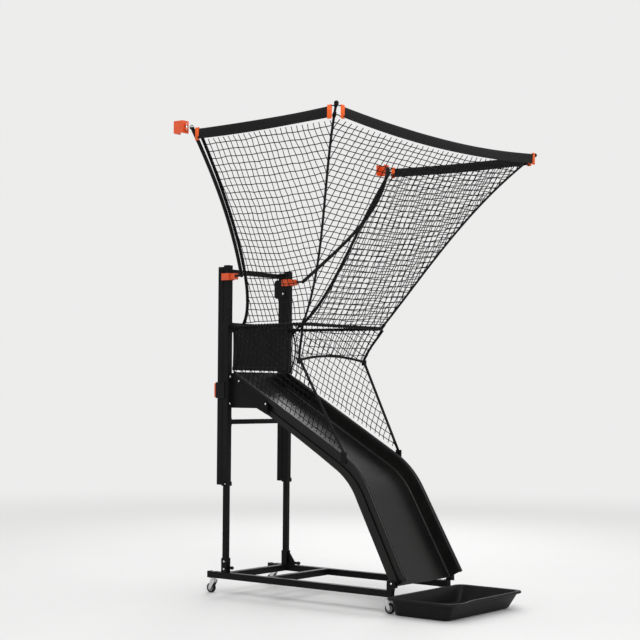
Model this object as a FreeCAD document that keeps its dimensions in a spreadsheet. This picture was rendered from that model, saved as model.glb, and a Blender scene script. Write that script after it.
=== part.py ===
import FreeCAD, Part
import math
import os
import Sketcher

# A basketball return machine that stands in front of a goal.
# A net funnel on bowed poles catches the ball, and a curved chute rolls it down into a floor tray.
# +Z is up and -Y is the front, where the ball comes out.
# Y is counted from the uprights in this file, and every piece is then moved by upright_y, so that the
# origin lies on the floor under the middle of the machine's box.

V = FreeCAD.Vector
doc = FreeCAD.newDocument("ball_return_machine")
sheet = doc.addObject("Spreadsheet::Sheet", "dims")

DRIVING = {
    # base frame
    "upright_y": 664.5,
    "leg_spacing": 502,
    "rail_side": 34,
    "rail_wall": 2.5,
    "corner_round": 3,
    "rail_bottom": 80,
    "rail_front": -1062,
    "rail_rear": 112,
    "mid_bar_y": -290,
    # uprights
    "leg_side": 28,
    "leg_wall": 2,
    "leg_top": 960,
    "sleeve_side": 35,
    "sleeve_wall": 3,
    "sleeve_bottom": 578,
    "upright_top": 1722,
    "brace_height": 904,
    "brace_side": 25,
    # mast
    "mast_side": 36,
    "mast_wall": 2.5,
    "mast_bottom": 573,
    "mast_top": 1714,
    "mast_gap": 1,
    "guide_height": 1070,
    "guide_length": 84,
    "head_height": 1665,
    "top_bar_height": 1698,
    "hoop_height": 1403,
    "hoop_rod": 15,
    "hoop_front": -580,
    "hoop_half": 347,
    "bracket_wrap": 10,
    # net
    "net_thickness": 8,
    "tip_half": 885,
    "tip_y": -1178,
    "tip_height": 2343,
    "corner_half": 822,
    "corner_y": -262,
    "corner_height": 2334,
    "pole_rod": 12,
    "back_rod": 19,
    "strap_width": 50,
    "strap_thickness": 4,
    "strap_sag": 38,
    "left_strap_drop": 12,
    # chute
    "chute_half": 235,
    "chute_wall": 6,
    "chute_depth": 80,
    "chute_skirt": 16,
    "chute_flare": 25,
    "chute_top_y": -26,
    "chute_top_z": 1167,
    "chute_slope": 30,
    "chute_run": 830,
    "chute_bend": 450,
    "chute_end_slope": 61,
    "chute_drop": 472,
    # tray
    "tray_half": 338,
    "tray_floor_half": 290,
    "tray_front": -1455,
    "tray_back": -1073,
    "tray_floor_front": -1403,
    "tray_floor_back": -1095,
    "tray_height": 90,
    "tray_wall": 4,
    # casters
    "wheel_diameter": 52,
    "wheel_width": 20,
    "caster_trail": 18,
    "axle_diameter": 8,
    "running_gap": 0.05,
    "caster_front_y": -1034,
    "caster_rear_y": 82,
}

for row, (alias, value) in enumerate(DRIVING.items(), start=1):
    sheet.set("A%d" % row, alias)
    sheet.set("B%d" % row, str(value))
    sheet.setAlias("B%d" % row, alias)
doc.recompute()

D = {alias: float(sheet.get(alias)) for alias in DRIVING}
HALF_LEG = D["leg_spacing"] / 2
RAIL_TOP = D["rail_bottom"] + D["rail_side"]
MAST_Y = D["sleeve_side"] / 2 + D["mast_gap"] + D["mast_side"] / 2
SIDES = (("l", -1), ("r", 1))
subparts = []


def keep(obj, label, position=(0, 0, 0), rotation=None):
    """Give a sub-part its file name and its place, moved by upright_y like every other piece."""
    obj.Label = label
    turn = rotation or FreeCAD.Rotation()
    place = V(position[0], position[1] + D["upright_y"], position[2])
    obj.Placement = FreeCAD.Placement(place, turn)
    subparts.append(obj)
    return obj


def feature(label, shape):
    """A sub-part whose shape comes from Part functions, in upright coordinates."""
    obj = doc.addObject("Part::Feature", label)
    obj.Shape = shape
    own = shape.Placement
    return keep(obj, label, own.Base, own.Rotation)


def box(x0, x1, y0, y1, z0, z1):
    """A box between two corners, given in any order along each axis."""
    low = V(min(x0, x1), min(y0, y1), min(z0, z1))
    return Part.makeBox(abs(x1 - x0), abs(y1 - y0), abs(z1 - z0), low)


def rod(start, end, radius):
    """A round bar from one point to another."""
    along = V(*end) - V(*start)
    return Part.makeCylinder(radius, along.Length, V(*start), along)


def fuse(shapes):
    """Join overlapping shapes into one solid with merged faces."""
    return shapes[0].fuse(shapes[1:]).removeSplitter()


def origin_plane(body, role):
    return [item for item in body.Origin.OriginFeatures if item.Role == role][0]


def add_rectangle(sketch, name, width, height):
    """A rectangle centred on the sketch's origin, its two sizes bound to expressions."""
    first = sketch.GeometryCount
    corners = [V(-10, -10, 0), V(10, -10, 0), V(10, 10, 0), V(-10, 10, 0)]
    for index in range(4):
        sketch.addGeometry(Part.LineSegment(corners[index], corners[(index + 1) % 4]))
    for index in range(4):
        sketch.addConstraint(Sketcher.Constraint("Coincident", first + index, 2, first + (index + 1) % 4, 1))
    for index, kind in enumerate(("Horizontal", "Vertical", "Horizontal", "Vertical")):
        sketch.addConstraint(Sketcher.Constraint(kind, first + index))
    sketch.addConstraint(Sketcher.Constraint("Symmetric", first, 1, first + 1, 2, -1, 1))
    wide = sketch.addConstraint(Sketcher.Constraint("DistanceX", first, 1, first, 2, 20))
    sketch.renameConstraint(wide, name + "_width")
    tall = sketch.addConstraint(Sketcher.Constraint("DistanceY", first + 1, 1, first + 1, 2, 20))
    sketch.renameConstraint(tall, name + "_height")
    sketch.setExpression("Constraints." + name + "_width", width)
    sketch.setExpression("Constraints." + name + "_height", height)


def is_long_corner(edge, reach):
    """True for an edge along Z at an outer corner of a square section centred on Z."""
    first, last = edge.Vertexes[0].Point, edge.Vertexes[-1].Point
    upright = abs(first.z - last.z) > 1
    return upright and abs(abs(first.x) - reach) < 0.01 and abs(abs(first.y) - reach) < 0.01


def round_corners(block, axis):
    """Round a box's four edges along one axis, as on the tubes."""
    edges = [edge for edge in block.Edges
             if abs(getattr(edge.Vertexes[0].Point - edge.Vertexes[1].Point, axis)) > 1]
    return block.makeFillet(D["corner_round"], edges)


def square_tube(label, side, wall, length, position, rotation=None):
    """A square tube: a ring sketch padded to its length along the body's Z."""
    body = doc.addObject("PartDesign::Body", label)
    sketch = body.newObject("Sketcher::SketchObject", label + "_section")
    sketch.AttachmentSupport = [(origin_plane(body, "XY_Plane"), "")]
    sketch.MapMode = "FlatFace"
    add_rectangle(sketch, "outer", side, side)
    inner = "%s - 2 * %s" % (side, wall)
    add_rectangle(sketch, "inner", inner, inner)
    pad = body.newObject("PartDesign::Pad", label + "_length")
    pad.Profile = sketch
    pad.setExpression("Length", length)
    doc.recompute()
    reach = D[side.split(".")[1]] / 2
    corners = ["Edge%d" % (index + 1) for index, edge in enumerate(pad.Shape.Edges)
               if is_long_corner(edge, reach)]
    rounded = body.newObject("PartDesign::Fillet", label + "_corners")
    rounded.Base = (pad, corners)
    rounded.setExpression("Radius", "dims.corner_round")
    body.Tip = rounded
    return keep(body, label, position, rotation)


ALONG_X = FreeCAD.Rotation(V(0, 1, 0), 90)
ALONG_Y = FreeCAD.Rotation(V(1, 0, 0), -90)


# ---------------------------------------------------------------- base frame

def base_frame():
    """Two side rails, the two crossbars between them and the plugs in the rails' open ends."""
    middle = D["rail_bottom"] + D["rail_side"] / 2
    for tag, side in SIDES:
        square_tube("side_rail_" + tag, "dims.rail_side", "dims.rail_wall",
                    "dims.rail_rear - dims.rail_front",
                    (side * HALF_LEG, D["rail_front"], middle), ALONG_Y)
    start = -HALF_LEG + D["rail_side"] / 2
    for label, y in (("rear_crossbar", 0), ("mid_crossbar", D["mid_bar_y"])):
        square_tube(label, "dims.rail_side", "dims.rail_wall", "dims.leg_spacing - dims.rail_side",
                    (start, y, middle), ALONG_X)
    inside = D["rail_side"] / 2 - D["rail_wall"] - 0.1
    outside = D["rail_side"] / 2
    lid = 3
    plug = 14
    caps = []
    for tag, side in SIDES:
        for y, out in ((D["rail_front"], -1), (D["rail_rear"], 1)):
            x = side * HALF_LEG
            cover = box(x - outside, x + outside, y, y + out * lid, middle - outside, middle + outside)
            cover = round_corners(cover, "y")
            stub = box(x - inside, x + inside, y + out * lid, y - out * plug,
                       middle - inside, middle + inside)
            caps.append(cover.fuse(stub).removeSplitter())
    feature("rail_end_caps", Part.makeCompound(caps))


FOOT_PLATE = 3
SHOE_INNER = D["leg_side"] / 2 + 0.2
SHOE_OUTER = SHOE_INNER + FOOT_PLATE
# Rise and reach of each foot's gusset, and the length of the pull pin's barrel: the right foot's are larger.
FOOT_SIZES = {-1: (62, 12, 6), 1: (80, 46, 20)}
PIN_RADIUS = 4


def pin_place(side):
    """Where a pull pin sits: its x, the face its barrel stands on and its height."""
    if side < 0:
        return side * (HALF_LEG - 12), -SHOE_OUTER, RAIL_TOP + 24
    reach = FOOT_SIZES[side][1]
    return side * HALF_LEG, -SHOE_OUTER - reach + 2, RAIL_TOP + 11


def foot_brackets():
    """A welded shoe on each rail that boxes in the leg's foot, with a gusset and a pull pin's barrel."""
    rise = 76
    toe = 18
    half_web = 2
    for tag, side in SIDES:
        x = side * HALF_LEG
        gusset_rise, reach, barrel_length = FOOT_SIZES[side]
        shell = box(x - SHOE_OUTER, x + SHOE_OUTER, -SHOE_OUTER, SHOE_OUTER, RAIL_TOP, RAIL_TOP + rise)
        shell = shell.cut(box(x - SHOE_INNER, x + SHOE_INNER, -SHOE_INNER, SHOE_INNER,
                              RAIL_TOP + FOOT_PLATE, RAIL_TOP + rise + 1))
        root = -SHOE_OUTER + 0.5
        tip = -SHOE_OUTER - reach
        points = [V(x - half_web, root, RAIL_TOP), V(x - half_web, tip, RAIL_TOP),
                  V(x - half_web, tip, RAIL_TOP + toe), V(x - half_web, root, RAIL_TOP + gusset_rise)]
        gusset = Part.Face(Part.makePolygon(points + points[:1])).extrude(V(2 * half_web, 0, 0))
        pin_x, face, height = pin_place(side)
        barrel = rod((pin_x, face - barrel_length, height), (pin_x, face + 1, height), PIN_RADIUS + 3)
        bore = rod((pin_x, face - barrel_length - 1, height), (pin_x, face - 0.5, height), PIN_RADIUS + 0.1)
        feature("foot_bracket_" + tag, fuse([shell, gusset, barrel]).cut(bore))


def foot_pins():
    """Two sprung pull pins in the barrels on the foot brackets, each with a round knob."""
    knob_length = 13
    for tag, side in SIDES:
        x, face, height = pin_place(side)
        mouth = face - FOOT_SIZES[side][2]
        knob_back = mouth - 3
        knob_front = knob_back - knob_length
        shaft = rod((x, knob_back - 2, height), (x, face - 1, height), PIN_RADIUS + 0.04)
        knob = rod((x, knob_front, height), (x, knob_back, height), 8)
        grip = Part.makeTorus(7, 2.5, V(x, (knob_front + knob_back) / 2, height), V(0, 1, 0))
        feature("pull_pin_" + tag, fuse([shaft, knob, grip]))


# ---------------------------------------------------------------- uprights

def uprights():
    """Thin legs that stand on the rails, and the wider sleeves clamped over them."""
    for tag, side in SIDES:
        x = side * HALF_LEG
        square_tube("inner_leg_" + tag, "dims.leg_side", "dims.leg_wall",
                    "dims.leg_top - dims.rail_bottom - dims.rail_side - 3", (x, 0, RAIL_TOP + 3))
        square_tube("outer_sleeve_" + tag, "dims.sleeve_side", "dims.sleeve_wall",
                    "dims.upright_top - dims.sleeve_bottom", (x, 0, D["sleeve_bottom"]))


def sleeve_collars():
    """A clamp collar at the foot of each sleeve, split at the outside and drawn up by one bolt."""
    leg = D["leg_side"] / 2
    seat = D["sleeve_side"] / 2
    rim = seat + 2.5
    height = 22
    step = height / 2
    inset = 3
    low = D["sleeve_bottom"] - step + 1
    collars = []
    for tag, side in SIDES:
        x = side * HALF_LEG
        block = box(x - rim, x + rim, -rim, seat, low, low + height)
        ear = box(x + side * (rim - 2), x + side * (rim + 10), -13, 7, low + inset, low + height - inset)
        block = block.fuse(ear)
        block = block.cut(box(x - leg, x + leg, -leg, leg, low - 1, low + step))
        block = block.cut(box(x - seat, x + seat, -seat, seat + 5, low + step - 1, low + height + 1))
        slit = box(x + side * leg, x + side * (rim + 20), -5, -3, low - 1, low + height + 1)
        collars.append(block.cut(slit))
    feature("sleeve_collars", Part.makeCompound(collars))


def tube_caps(label, side_size, wall, y, top):
    """Flat plugs in the tops of a pair of upright tubes."""
    outside = side_size / 2
    inside = outside - wall - 0.1
    caps = []
    for tag, side in SIDES:
        x = side * HALF_LEG
        cover = round_corners(box(x - outside, x + outside, y - outside, y + outside, top, top + 4), "z")
        lid = max(cover.Faces, key=lambda face: face.CenterOfMass.z)
        stub = box(x - inside, x + inside, y - inside, y + inside, top - 16, top)
        caps.append(cover.makeChamfer(1.2, lid.Edges).fuse(stub).removeSplitter())
    feature(label, Part.makeCompound(caps))


def chute_brace():
    """The square bar between the sleeves, with an end plate on each."""
    half = D["brace_side"] / 2
    wall = D["leg_wall"]
    plate = 3
    plate_half = 22
    reach = HALF_LEG - D["sleeve_side"] / 2
    z = D["brace_height"]
    inner = half - wall
    bar = box(-reach + plate, reach - plate, -half, half, z - half, z + half)
    hollow = box(-reach + 2, reach - 2, -inner, inner, z - inner, z + inner)
    plates = [box(side * (reach - plate), side * reach, -half - plate, half + plate, z - plate_half, z + plate_half)
              for _, side in SIDES]
    feature("chute_brace", fuse([bar.cut(hollow)] + plates))


PLUNGER_RADIUS = 5.04


def mast_guides():
    """Channel blocks on the backs of the sleeves that the mast tubes slide through."""
    gap = 0.4
    inner = D["mast_side"] / 2 + gap
    outer = inner + 5
    back = MAST_Y + inner
    lip_depth = 12
    front = D["sleeve_side"] / 2 - 16
    low = D["guide_height"] - D["guide_length"] / 2
    high = low + D["guide_length"]
    blocks = []
    for tag, side in SIDES:
        x = side * HALF_LEG
        block = box(x - outer, x + outer, front, back + 6, low, high)
        block = block.cut(box(x - inner, x + inner, front - 1, back, low - 1, high + 1))
        boss = box(x - 9, x + 9, back + 4, back + 9, D["guide_height"] - 20, D["guide_height"] + 20)
        block = block.fuse(boss)
        bore = rod((x, back - 1, D["guide_height"]), (x, back + 20, D["guide_height"]), PLUNGER_RADIUS + 0.06)
        lips = [box(x + edge * (D["sleeve_side"] / 2), x + edge * inner, front, front + lip_depth, low, high)
                for edge in (-1, 1)]
        blocks.append(fuse([block.cut(bore)] + lips))
    feature("mast_guides", Part.makeCompound(blocks))


def mast_locks():
    """Orange pull handles behind the guides, each with a sprung plunger."""
    back = MAST_Y + D["mast_side"] / 2 + 0.4
    z = D["guide_height"]
    grip_start = 10
    grip_depth = 17
    half_length = 38
    for tag, side in SIDES:
        x = side * HALF_LEG
        plunger = rod((x, back + 0.6, z), (x, back + grip_start + 6, z), PLUNGER_RADIUS)
        grip = box(x - 10, x + 10, back + grip_start, back + grip_start + grip_depth,
                   z - half_length, z + half_length)
        edges = [edge for edge in grip.Edges if abs(edge.Vertexes[0].Z - edge.Vertexes[1].Z) < 1]
        grip = grip.makeFillet(5, edges)
        feature("mast_lock_" + tag, fuse([grip, plunger]))


# ---------------------------------------------------------------- chute

def chute_points(depths):
    """Five points of a line under the chute's lip, from the top to the outlet; depths is one number or five."""
    if not isinstance(depths, list):
        depths = [depths] * 5
    first = math.radians(D["chute_slope"])
    last = math.radians(D["chute_end_slope"])
    radius = D["chute_bend"]

    def at(y, z, slope, depth):
        return V(0, y + depth * math.sin(slope), z - depth * math.cos(slope))

    y0 = D["chute_top_y"]
    z0 = D["chute_top_z"]
    y1 = y0 - D["chute_run"] * math.cos(first)
    z1 = z0 - D["chute_run"] * math.sin(first)
    half = (first + last) / 2
    y_mid = y1 - radius * (math.sin(half) - math.sin(first))
    z_mid = z1 - radius * (math.cos(first) - math.cos(half))
    y2 = y1 - radius * (math.sin(last) - math.sin(first))
    z2 = z1 - radius * (math.cos(first) - math.cos(last))
    y3 = y2 - D["chute_drop"] * math.cos(last)
    z3 = z2 - D["chute_drop"] * math.sin(last)
    top = V(0, y0, z0 - depths[0] / math.cos(first))
    return [top, at(y1, z1, first, depths[1]), at(y_mid, z_mid, half, depths[2]),
            at(y2, z2, last, depths[3]), at(y3, z3, last, depths[4])]


def chute_band(upper, lower, x0, x1, extra=0):
    """A slab that follows the chute between two depths below its lip, from x0 to x1."""
    high = chute_points(upper)
    low = chute_points(lower)
    if extra:
        tail_high = high[4] + (high[4] - high[3]).normalize() * extra
        tail_low = low[4] + (low[4] - low[3]).normalize() * extra
    else:
        tail_high = high[4]
        tail_low = low[4]
    edges = [
        Part.LineSegment(high[0], high[1]).toShape(),
        Part.Arc(high[1], high[2], high[3]).toShape(),
        Part.LineSegment(high[3], tail_high).toShape(),
        Part.LineSegment(tail_high, tail_low).toShape(),
        Part.LineSegment(tail_low, low[3]).toShape(),
        Part.Arc(low[3], low[2], low[1]).toShape(),
        Part.LineSegment(low[1], low[0]).toShape(),
        Part.LineSegment(low[0], high[0]).toShape(),
    ]
    face = Part.Face(Part.Wire(edges))
    face.translate(V(x0, 0, 0))
    return face.extrude(V(x1 - x0, 0, 0))


def chute_plan(inset):
    """The chute as seen from the front, drawn in by an inset: straight sides that flare below the bend."""
    lip = chute_points(0)
    bend_z = lip[1].z
    spread = D["chute_flare"] * bend_z / (bend_z - lip[4].z)
    half = D["chute_half"] - inset
    right = [V(half, 0, D["upright_top"]), V(half, 0, bend_z), V(half + spread, 0, 0)]
    outline = right + [V(-point.x, 0, point.z) for point in reversed(right)]
    face = Part.Face(Part.makePolygon(outline + outline[:1]))
    face.translate(V(0, D["rail_rear"], 0))
    return face.extrude(V(0, D["tray_front"] - D["rail_rear"], 0))


def chute_block(rise=0):
    """The chute's outside as one block, its walls hanging below the floor toward the outlet."""
    reach = D["chute_half"] + 2 * D["chute_flare"]
    hang = [D["chute_depth"] + share * D["chute_skirt"] for share in (0, 0.36, 0.86, 1, 1)]
    return chute_band(-rise, hang, -reach, reach).common(chute_plan(0))


def ball_chute():
    """One moulded channel: floor, two walls with an outward lip, a closed top end and an open outlet."""
    wall = D["chute_wall"]
    depth = D["chute_depth"]
    reach = D["chute_half"] + 2 * D["chute_flare"]
    narrow = chute_plan(wall)
    inside = chute_band(-20, depth - wall, -reach, reach, extra=10).common(narrow)
    back = D["chute_top_y"] - wall
    inside = inside.common(box(-reach, reach, back, back - 2000, 0, 2000))
    under = chute_band(depth, depth + 3 * D["chute_skirt"], -reach, reach, extra=10).common(narrow)
    shell = chute_block().cut(inside).cut(under)
    ribs = [chute_band(depth - 1, depth + 5, x - 5, x + 5) for x in (-110, 110)]
    feature("ball_chute", fuse([shell] + ribs))


SIDE_PLATE = 3
# Places of the bolts through each side plate into the chute's wall, and heights of those into the sleeve.
WALL_BOLTS = ((-66, 1118), (-248, 1001))
SLEEVE_BOLTS = (1000, 1140)


def side_plates():
    """Bent steel plates that carry the top of the chute on the fronts of the sleeves."""
    slope = math.tan(math.radians(D["chute_slope"]))
    rear = -D["sleeve_side"] / 2
    front = -262
    knee = -190
    top = D["chute_top_z"] - 6
    bottom = 978
    front_top = top + (front - D["chute_top_y"]) * slope
    plates = []
    for tag, side in SIDES:
        x = side * D["chute_half"]
        outline = [V(x, rear, top), V(x, D["chute_top_y"], top), V(x, front, front_top),
                   V(x, front, front_top - D["chute_depth"]), V(x, knee, bottom), V(x, rear, bottom)]
        web = Part.Face(Part.makePolygon(outline + outline[:1])).extrude(V(side * SIDE_PLATE, 0, 0))
        flange = box(x, side * (HALF_LEG + 12), rear, rear - SIDE_PLATE, bottom, top)
        plates.append(fuse([web, flange]))
    feature("chute_side_plates", Part.makeCompound(plates))


BRACKET_EAR_X = HALF_LEG + 15


def outlet_brackets():
    """Angle brackets on the rails' front ends that hold the chute's outlet."""
    y0 = D["rail_front"] - 26
    y1 = D["rail_front"] + 22
    rise = 46
    plate = 4
    inner = HALF_LEG - 10
    brackets = []
    for tag, side in SIDES:
        foot = box(side * inner, side * BRACKET_EAR_X, D["rail_front"] + 2, y1, RAIL_TOP, RAIL_TOP + plate)
        ear = box(side * (BRACKET_EAR_X - plate), side * BRACKET_EAR_X, y0, y1, RAIL_TOP, RAIL_TOP + rise)
        pad = box(side * inner, side * BRACKET_EAR_X, y0, y0 + 4 * plate, RAIL_TOP + 3 * plate, RAIL_TOP + rise)
        brackets.append(fuse([foot, ear, pad]).cut(chute_block(rise)).removeSplitter())
    feature("outlet_brackets", Part.makeCompound(brackets))


def button_bolt(point, outward, radius=5.5):
    """A domed bolt head seated on a face, with a hexagonal socket in its crown."""
    head = Part.makeSphere(radius * 1.25, V(0, 0, -radius * 0.75))
    head = head.common(Part.makeCylinder(radius, radius, V(0, 0, 0)))
    reach = radius * 0.45
    ring = [V(reach * math.cos(math.radians(angle)), reach * math.sin(math.radians(angle)), radius * 0.2)
            for angle in range(0, 361, 60)]
    head = head.cut(Part.Face(Part.makePolygon(ring)).extrude(V(0, 0, radius)))
    turn = FreeCAD.Rotation(V(0, 0, 1), V(*outward))
    head.Placement = FreeCAD.Placement(V(*point), turn)
    return head


def chute_bolts():
    """Domed bolts that hold the side plates and outlet brackets."""
    web_face = D["chute_half"] + SIDE_PLATE
    flange_face = -D["sleeve_side"] / 2 - SIDE_PLATE
    bolts = []
    for tag, side in SIDES:
        for y, z in WALL_BOLTS:
            bolts.append(button_bolt((side * web_face, y, z), (side, 0, 0)))
        for z in SLEEVE_BOLTS:
            bolts.append(button_bolt((side * HALF_LEG, flange_face, z), (0, -1, 0)))
        bolts.append(button_bolt((side * BRACKET_EAR_X, D["rail_front"] - 4, RAIL_TOP + 32), (side, 0, 0)))
    feature("chute_bolts", Part.makeCompound(bolts))


def frame_bolts():
    """Domed bolts on the foot brackets, the collar ears and the rails over the casters."""
    bolts = []
    collar_z = D["sleeve_bottom"] + 1
    collar_ear = D["sleeve_side"] / 2 + 7
    for tag, side in SIDES:
        x = side * HALF_LEG
        for z in (RAIL_TOP + 18, RAIL_TOP + 58):
            bolts.append(button_bolt((x + side * SHOE_OUTER, 0, z), (side, 0, 0)))
        bolts.append(button_bolt((x + side * collar_ear, -13, collar_z), (0, -1, 0), 4))
        bolts.append(button_bolt((x, D["caster_rear_y"], RAIL_TOP), (0, 0, 1), 7))
        bolts.append(button_bolt((x, D["caster_front_y"], RAIL_TOP), (0, 0, 1), 6))
    feature("frame_bolts", Part.makeCompound(bolts))


# ---------------------------------------------------------------- casters

# Each caster's name, its kingpin's place and the way its wheel trails at rest.
CASTERS = [(row + tag, side * HALF_LEG, y, way) for tag, side in SIDES
           for row, y, way in (("front_", D["caster_front_y"], -1), ("rear_", D["caster_rear_y"], 1))]
AXLE_Z = D["wheel_diameter"] / 2


def caster_mounts():
    """Top plates under the rails, each with a raceway and a headed kingpin that the fork turns on."""
    top = D["rail_bottom"]
    half = D["rail_side"] / 2
    plate = 3
    pin_low = top - 25
    mounts = []
    for tag, x, y, way in CASTERS:
        flange = box(x - half, x + half, y - half - 2, y + half + 2, top - plate, top)
        race = Part.makeCylinder(13, 5, V(x, y, top - plate - 5))
        pin = Part.makeCylinder(D["axle_diameter"] / 2, top - plate - pin_low, V(x, y, pin_low))
        head = Part.makeCylinder(6.5, plate, V(x, y, pin_low))
        mounts.append(fuse([flange, race, pin, head]))
    feature("caster_mounts", Part.makeCompound(mounts))


def caster_fork(label, x, y, way):
    """A pressed fork: crown with a bore for the kingpin, two raked legs and the riveted axle."""
    inner = D["wheel_width"] / 2 + 1.5
    plate = 3
    half = 14
    boss_radius = 9
    crown_top = D["rail_bottom"] - 9
    crown_low = crown_top - 10
    trail = -D["caster_trail"]
    bore = D["axle_diameter"] / 2 + D["running_gap"]
    legs = []
    for edge in (-1, 1):
        start = edge * inner
        outline = [V(start, -half, crown_top), V(start, half, crown_top), V(start, half, crown_low),
                   V(start, trail + boss_radius, AXLE_Z - 2), V(start, trail - boss_radius, AXLE_Z - 2),
                   V(start, -half - 1, crown_low)]
        face = Part.Face(Part.makePolygon(outline + outline[:1]))
        leg = face.extrude(V(edge * plate, 0, 0))
        boss = rod((start, trail, AXLE_Z), (start + edge * plate, trail, AXLE_Z), boss_radius)
        legs.append(leg.fuse(boss))
    crown = box(-inner - plate, inner + plate, -half, half, crown_top - 4, crown_top)
    axle_reach = inner + plate + 2
    axle = rod((-axle_reach, trail, AXLE_Z), (axle_reach, trail, AXLE_Z), D["axle_diameter"] / 2)
    fork = fuse([crown] + legs + [axle])
    fork = fork.cut(Part.makeCylinder(bore, 40, V(0, 0, crown_low)))
    if way > 0:
        fork.rotate(V(0, 0, 0), V(0, 0, 1), 180)
    fork.translate(V(x, y, 0))
    feature(label, fork)


def caster_wheel(label, x, y, way):
    """A wheel turned about its axle: a bored hub and a tread with rounded shoulders."""
    body = doc.addObject("PartDesign::Body", label)
    sketch = body.newObject("Sketcher::SketchObject", label + "_section")
    sketch.AttachmentSupport = [(origin_plane(body, "XY_Plane"), "")]
    sketch.MapMode = "FlatFace"
    corners = [V(4, -10, 0), V(26, -10, 0), V(26, 10, 0), V(4, 10, 0)]
    for index in range(4):
        sketch.addGeometry(Part.LineSegment(corners[index], corners[(index + 1) % 4]))
    for index in range(4):
        sketch.addConstraint(Sketcher.Constraint("Coincident", index, 2, (index + 1) % 4, 1))
    for index, kind in enumerate(("Horizontal", "Vertical", "Horizontal")):
        sketch.addConstraint(Sketcher.Constraint(kind, index))
    sketch.addConstraint(Sketcher.Constraint("Symmetric", 3, 1, 3, 2, -1))
    sizes = (
        ("bore", Sketcher.Constraint("DistanceX", -1, 1, 0, 1, 4), "dims.axle_diameter / 2 + dims.running_gap"),
        ("tread", Sketcher.Constraint("DistanceX", -1, 1, 1, 1, 26), "dims.wheel_diameter / 2"),
        ("width", Sketcher.Constraint("DistanceY", 1, 1, 1, 2, 20), "dims.wheel_width"),
    )
    for name, constraint, expression in sizes:
        sketch.renameConstraint(sketch.addConstraint(constraint), name)
        sketch.setExpression("Constraints." + name, expression)
    turned = body.newObject("PartDesign::Revolution", label + "_turned")
    turned.Profile = sketch
    turned.ReferenceAxis = (sketch, ["V_Axis"])
    turned.Angle = 360
    doc.recompute()
    rims = ["Edge%d" % (index + 1) for index, edge in enumerate(turned.Shape.Edges)
            if hasattr(edge.Curve, "Radius") and abs(edge.Curve.Radius - D["wheel_diameter"] / 2) < 0.1]
    shoulder = body.newObject("PartDesign::Fillet", label + "_shoulders")
    shoulder.Base = (turned, rims)
    shoulder.Radius = 5
    body.Tip = shoulder
    keep(body, label, (x, y + way * D["caster_trail"], AXLE_Z), FreeCAD.Rotation(V(0, 0, 1), -90))


def casters():
    caster_mounts()
    for tag, x, y, way in CASTERS:
        caster_fork("caster_fork_" + tag, x, y, way)
        caster_wheel("caster_wheel_" + tag, x, y, way)


# ---------------------------------------------------------------- mast, hoop and arch

def mast():
    """Tubes behind the sleeves, the bar between their tops and their caps."""
    for tag, side in SIDES:
        square_tube("mast_tube_" + tag, "dims.mast_side", "dims.mast_wall",
                    "dims.mast_top - dims.mast_bottom", (side * HALF_LEG, MAST_Y, D["mast_bottom"]))
    square_tube("mast_crossbar", "dims.brace_side", "dims.leg_wall", "dims.leg_spacing - dims.mast_side",
                (-HALF_LEG + D["mast_side"] / 2, MAST_Y, D["top_bar_height"]), ALONG_X)


def bent_rod(points, radii, diameter):
    """A round rod along straight runs, with an arc of the given radius at each inner corner."""
    edges = []
    last = points[0]
    for index in range(1, len(points) - 1):
        before = (points[index - 1] - points[index]).normalize()
        after = (points[index + 1] - points[index]).normalize()
        angle = before.getAngle(after)
        setback = radii[index - 1] / math.tan(angle / 2)
        start = points[index] + before * setback
        end = points[index] + after * setback
        bisector = (before + after).normalize()
        middle = points[index] + bisector * (radii[index - 1] / math.sin(angle / 2) - radii[index - 1])
        edges.append(Part.LineSegment(last, start).toShape())
        edges.append(Part.Arc(start, middle, end).toShape())
        last = end
    edges.append(Part.LineSegment(last, points[-1]).toShape())
    path = Part.Wire(edges)
    section = Part.Wire(Part.makeCircle(diameter / 2, points[0], points[1] - points[0]))
    return path.makePipeShell([section], True, False)


STRADDLE_FRONT = -D["sleeve_side"] / 2 - 0.6
STRADDLE_BACK = MAST_Y - D["mast_side"] / 2 + D["bracket_wrap"]


def straddle(x, plate, low, high):
    """A bent strap round the front of a sleeve, whose arms grip the sides of the mast tube behind it."""
    inner = D["mast_side"] / 2
    outer = inner + plate
    strap = box(x - outer, x + outer, STRADDLE_FRONT - plate, STRADDLE_BACK, low, high)
    return strap.cut(box(x - inner, x + inner, STRADDLE_FRONT, STRADDLE_BACK + 1, low - 1, high + 1))


def hoop_run(side):
    """The end in its bracket and the front corner of one side of the hoop."""
    z = D["hoop_height"]
    return V(side * HALF_LEG, STRADDLE_FRONT - 6, z), V(side * D["hoop_half"], D["hoop_front"], z)


def net_hoop():
    """The bent rod round the funnel's lower edge, with a socket for a front pole at each corner."""
    left_end, left_corner = hoop_run(-1)
    right_end, right_corner = hoop_run(1)
    bend = 22
    hoop = bent_rod([left_end, left_corner, right_corner, right_end], (bend, bend), D["hoop_rod"])
    sockets = []
    bores = []
    for tag, side in SIDES:
        foot = V(*front_line(side)[0])
        way = bowed(front_line(side)).tangentAt(0)
        sockets.append(Part.makeCylinder(D["pole_rod"] / 2 + 3, 30, foot - way * 8, way))
        bores.append(Part.makeCylinder(D["pole_rod"] / 2 + 0.3, 60, foot, way))
    feature("net_hoop", fuse([hoop] + sockets).cut(bores))


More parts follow.
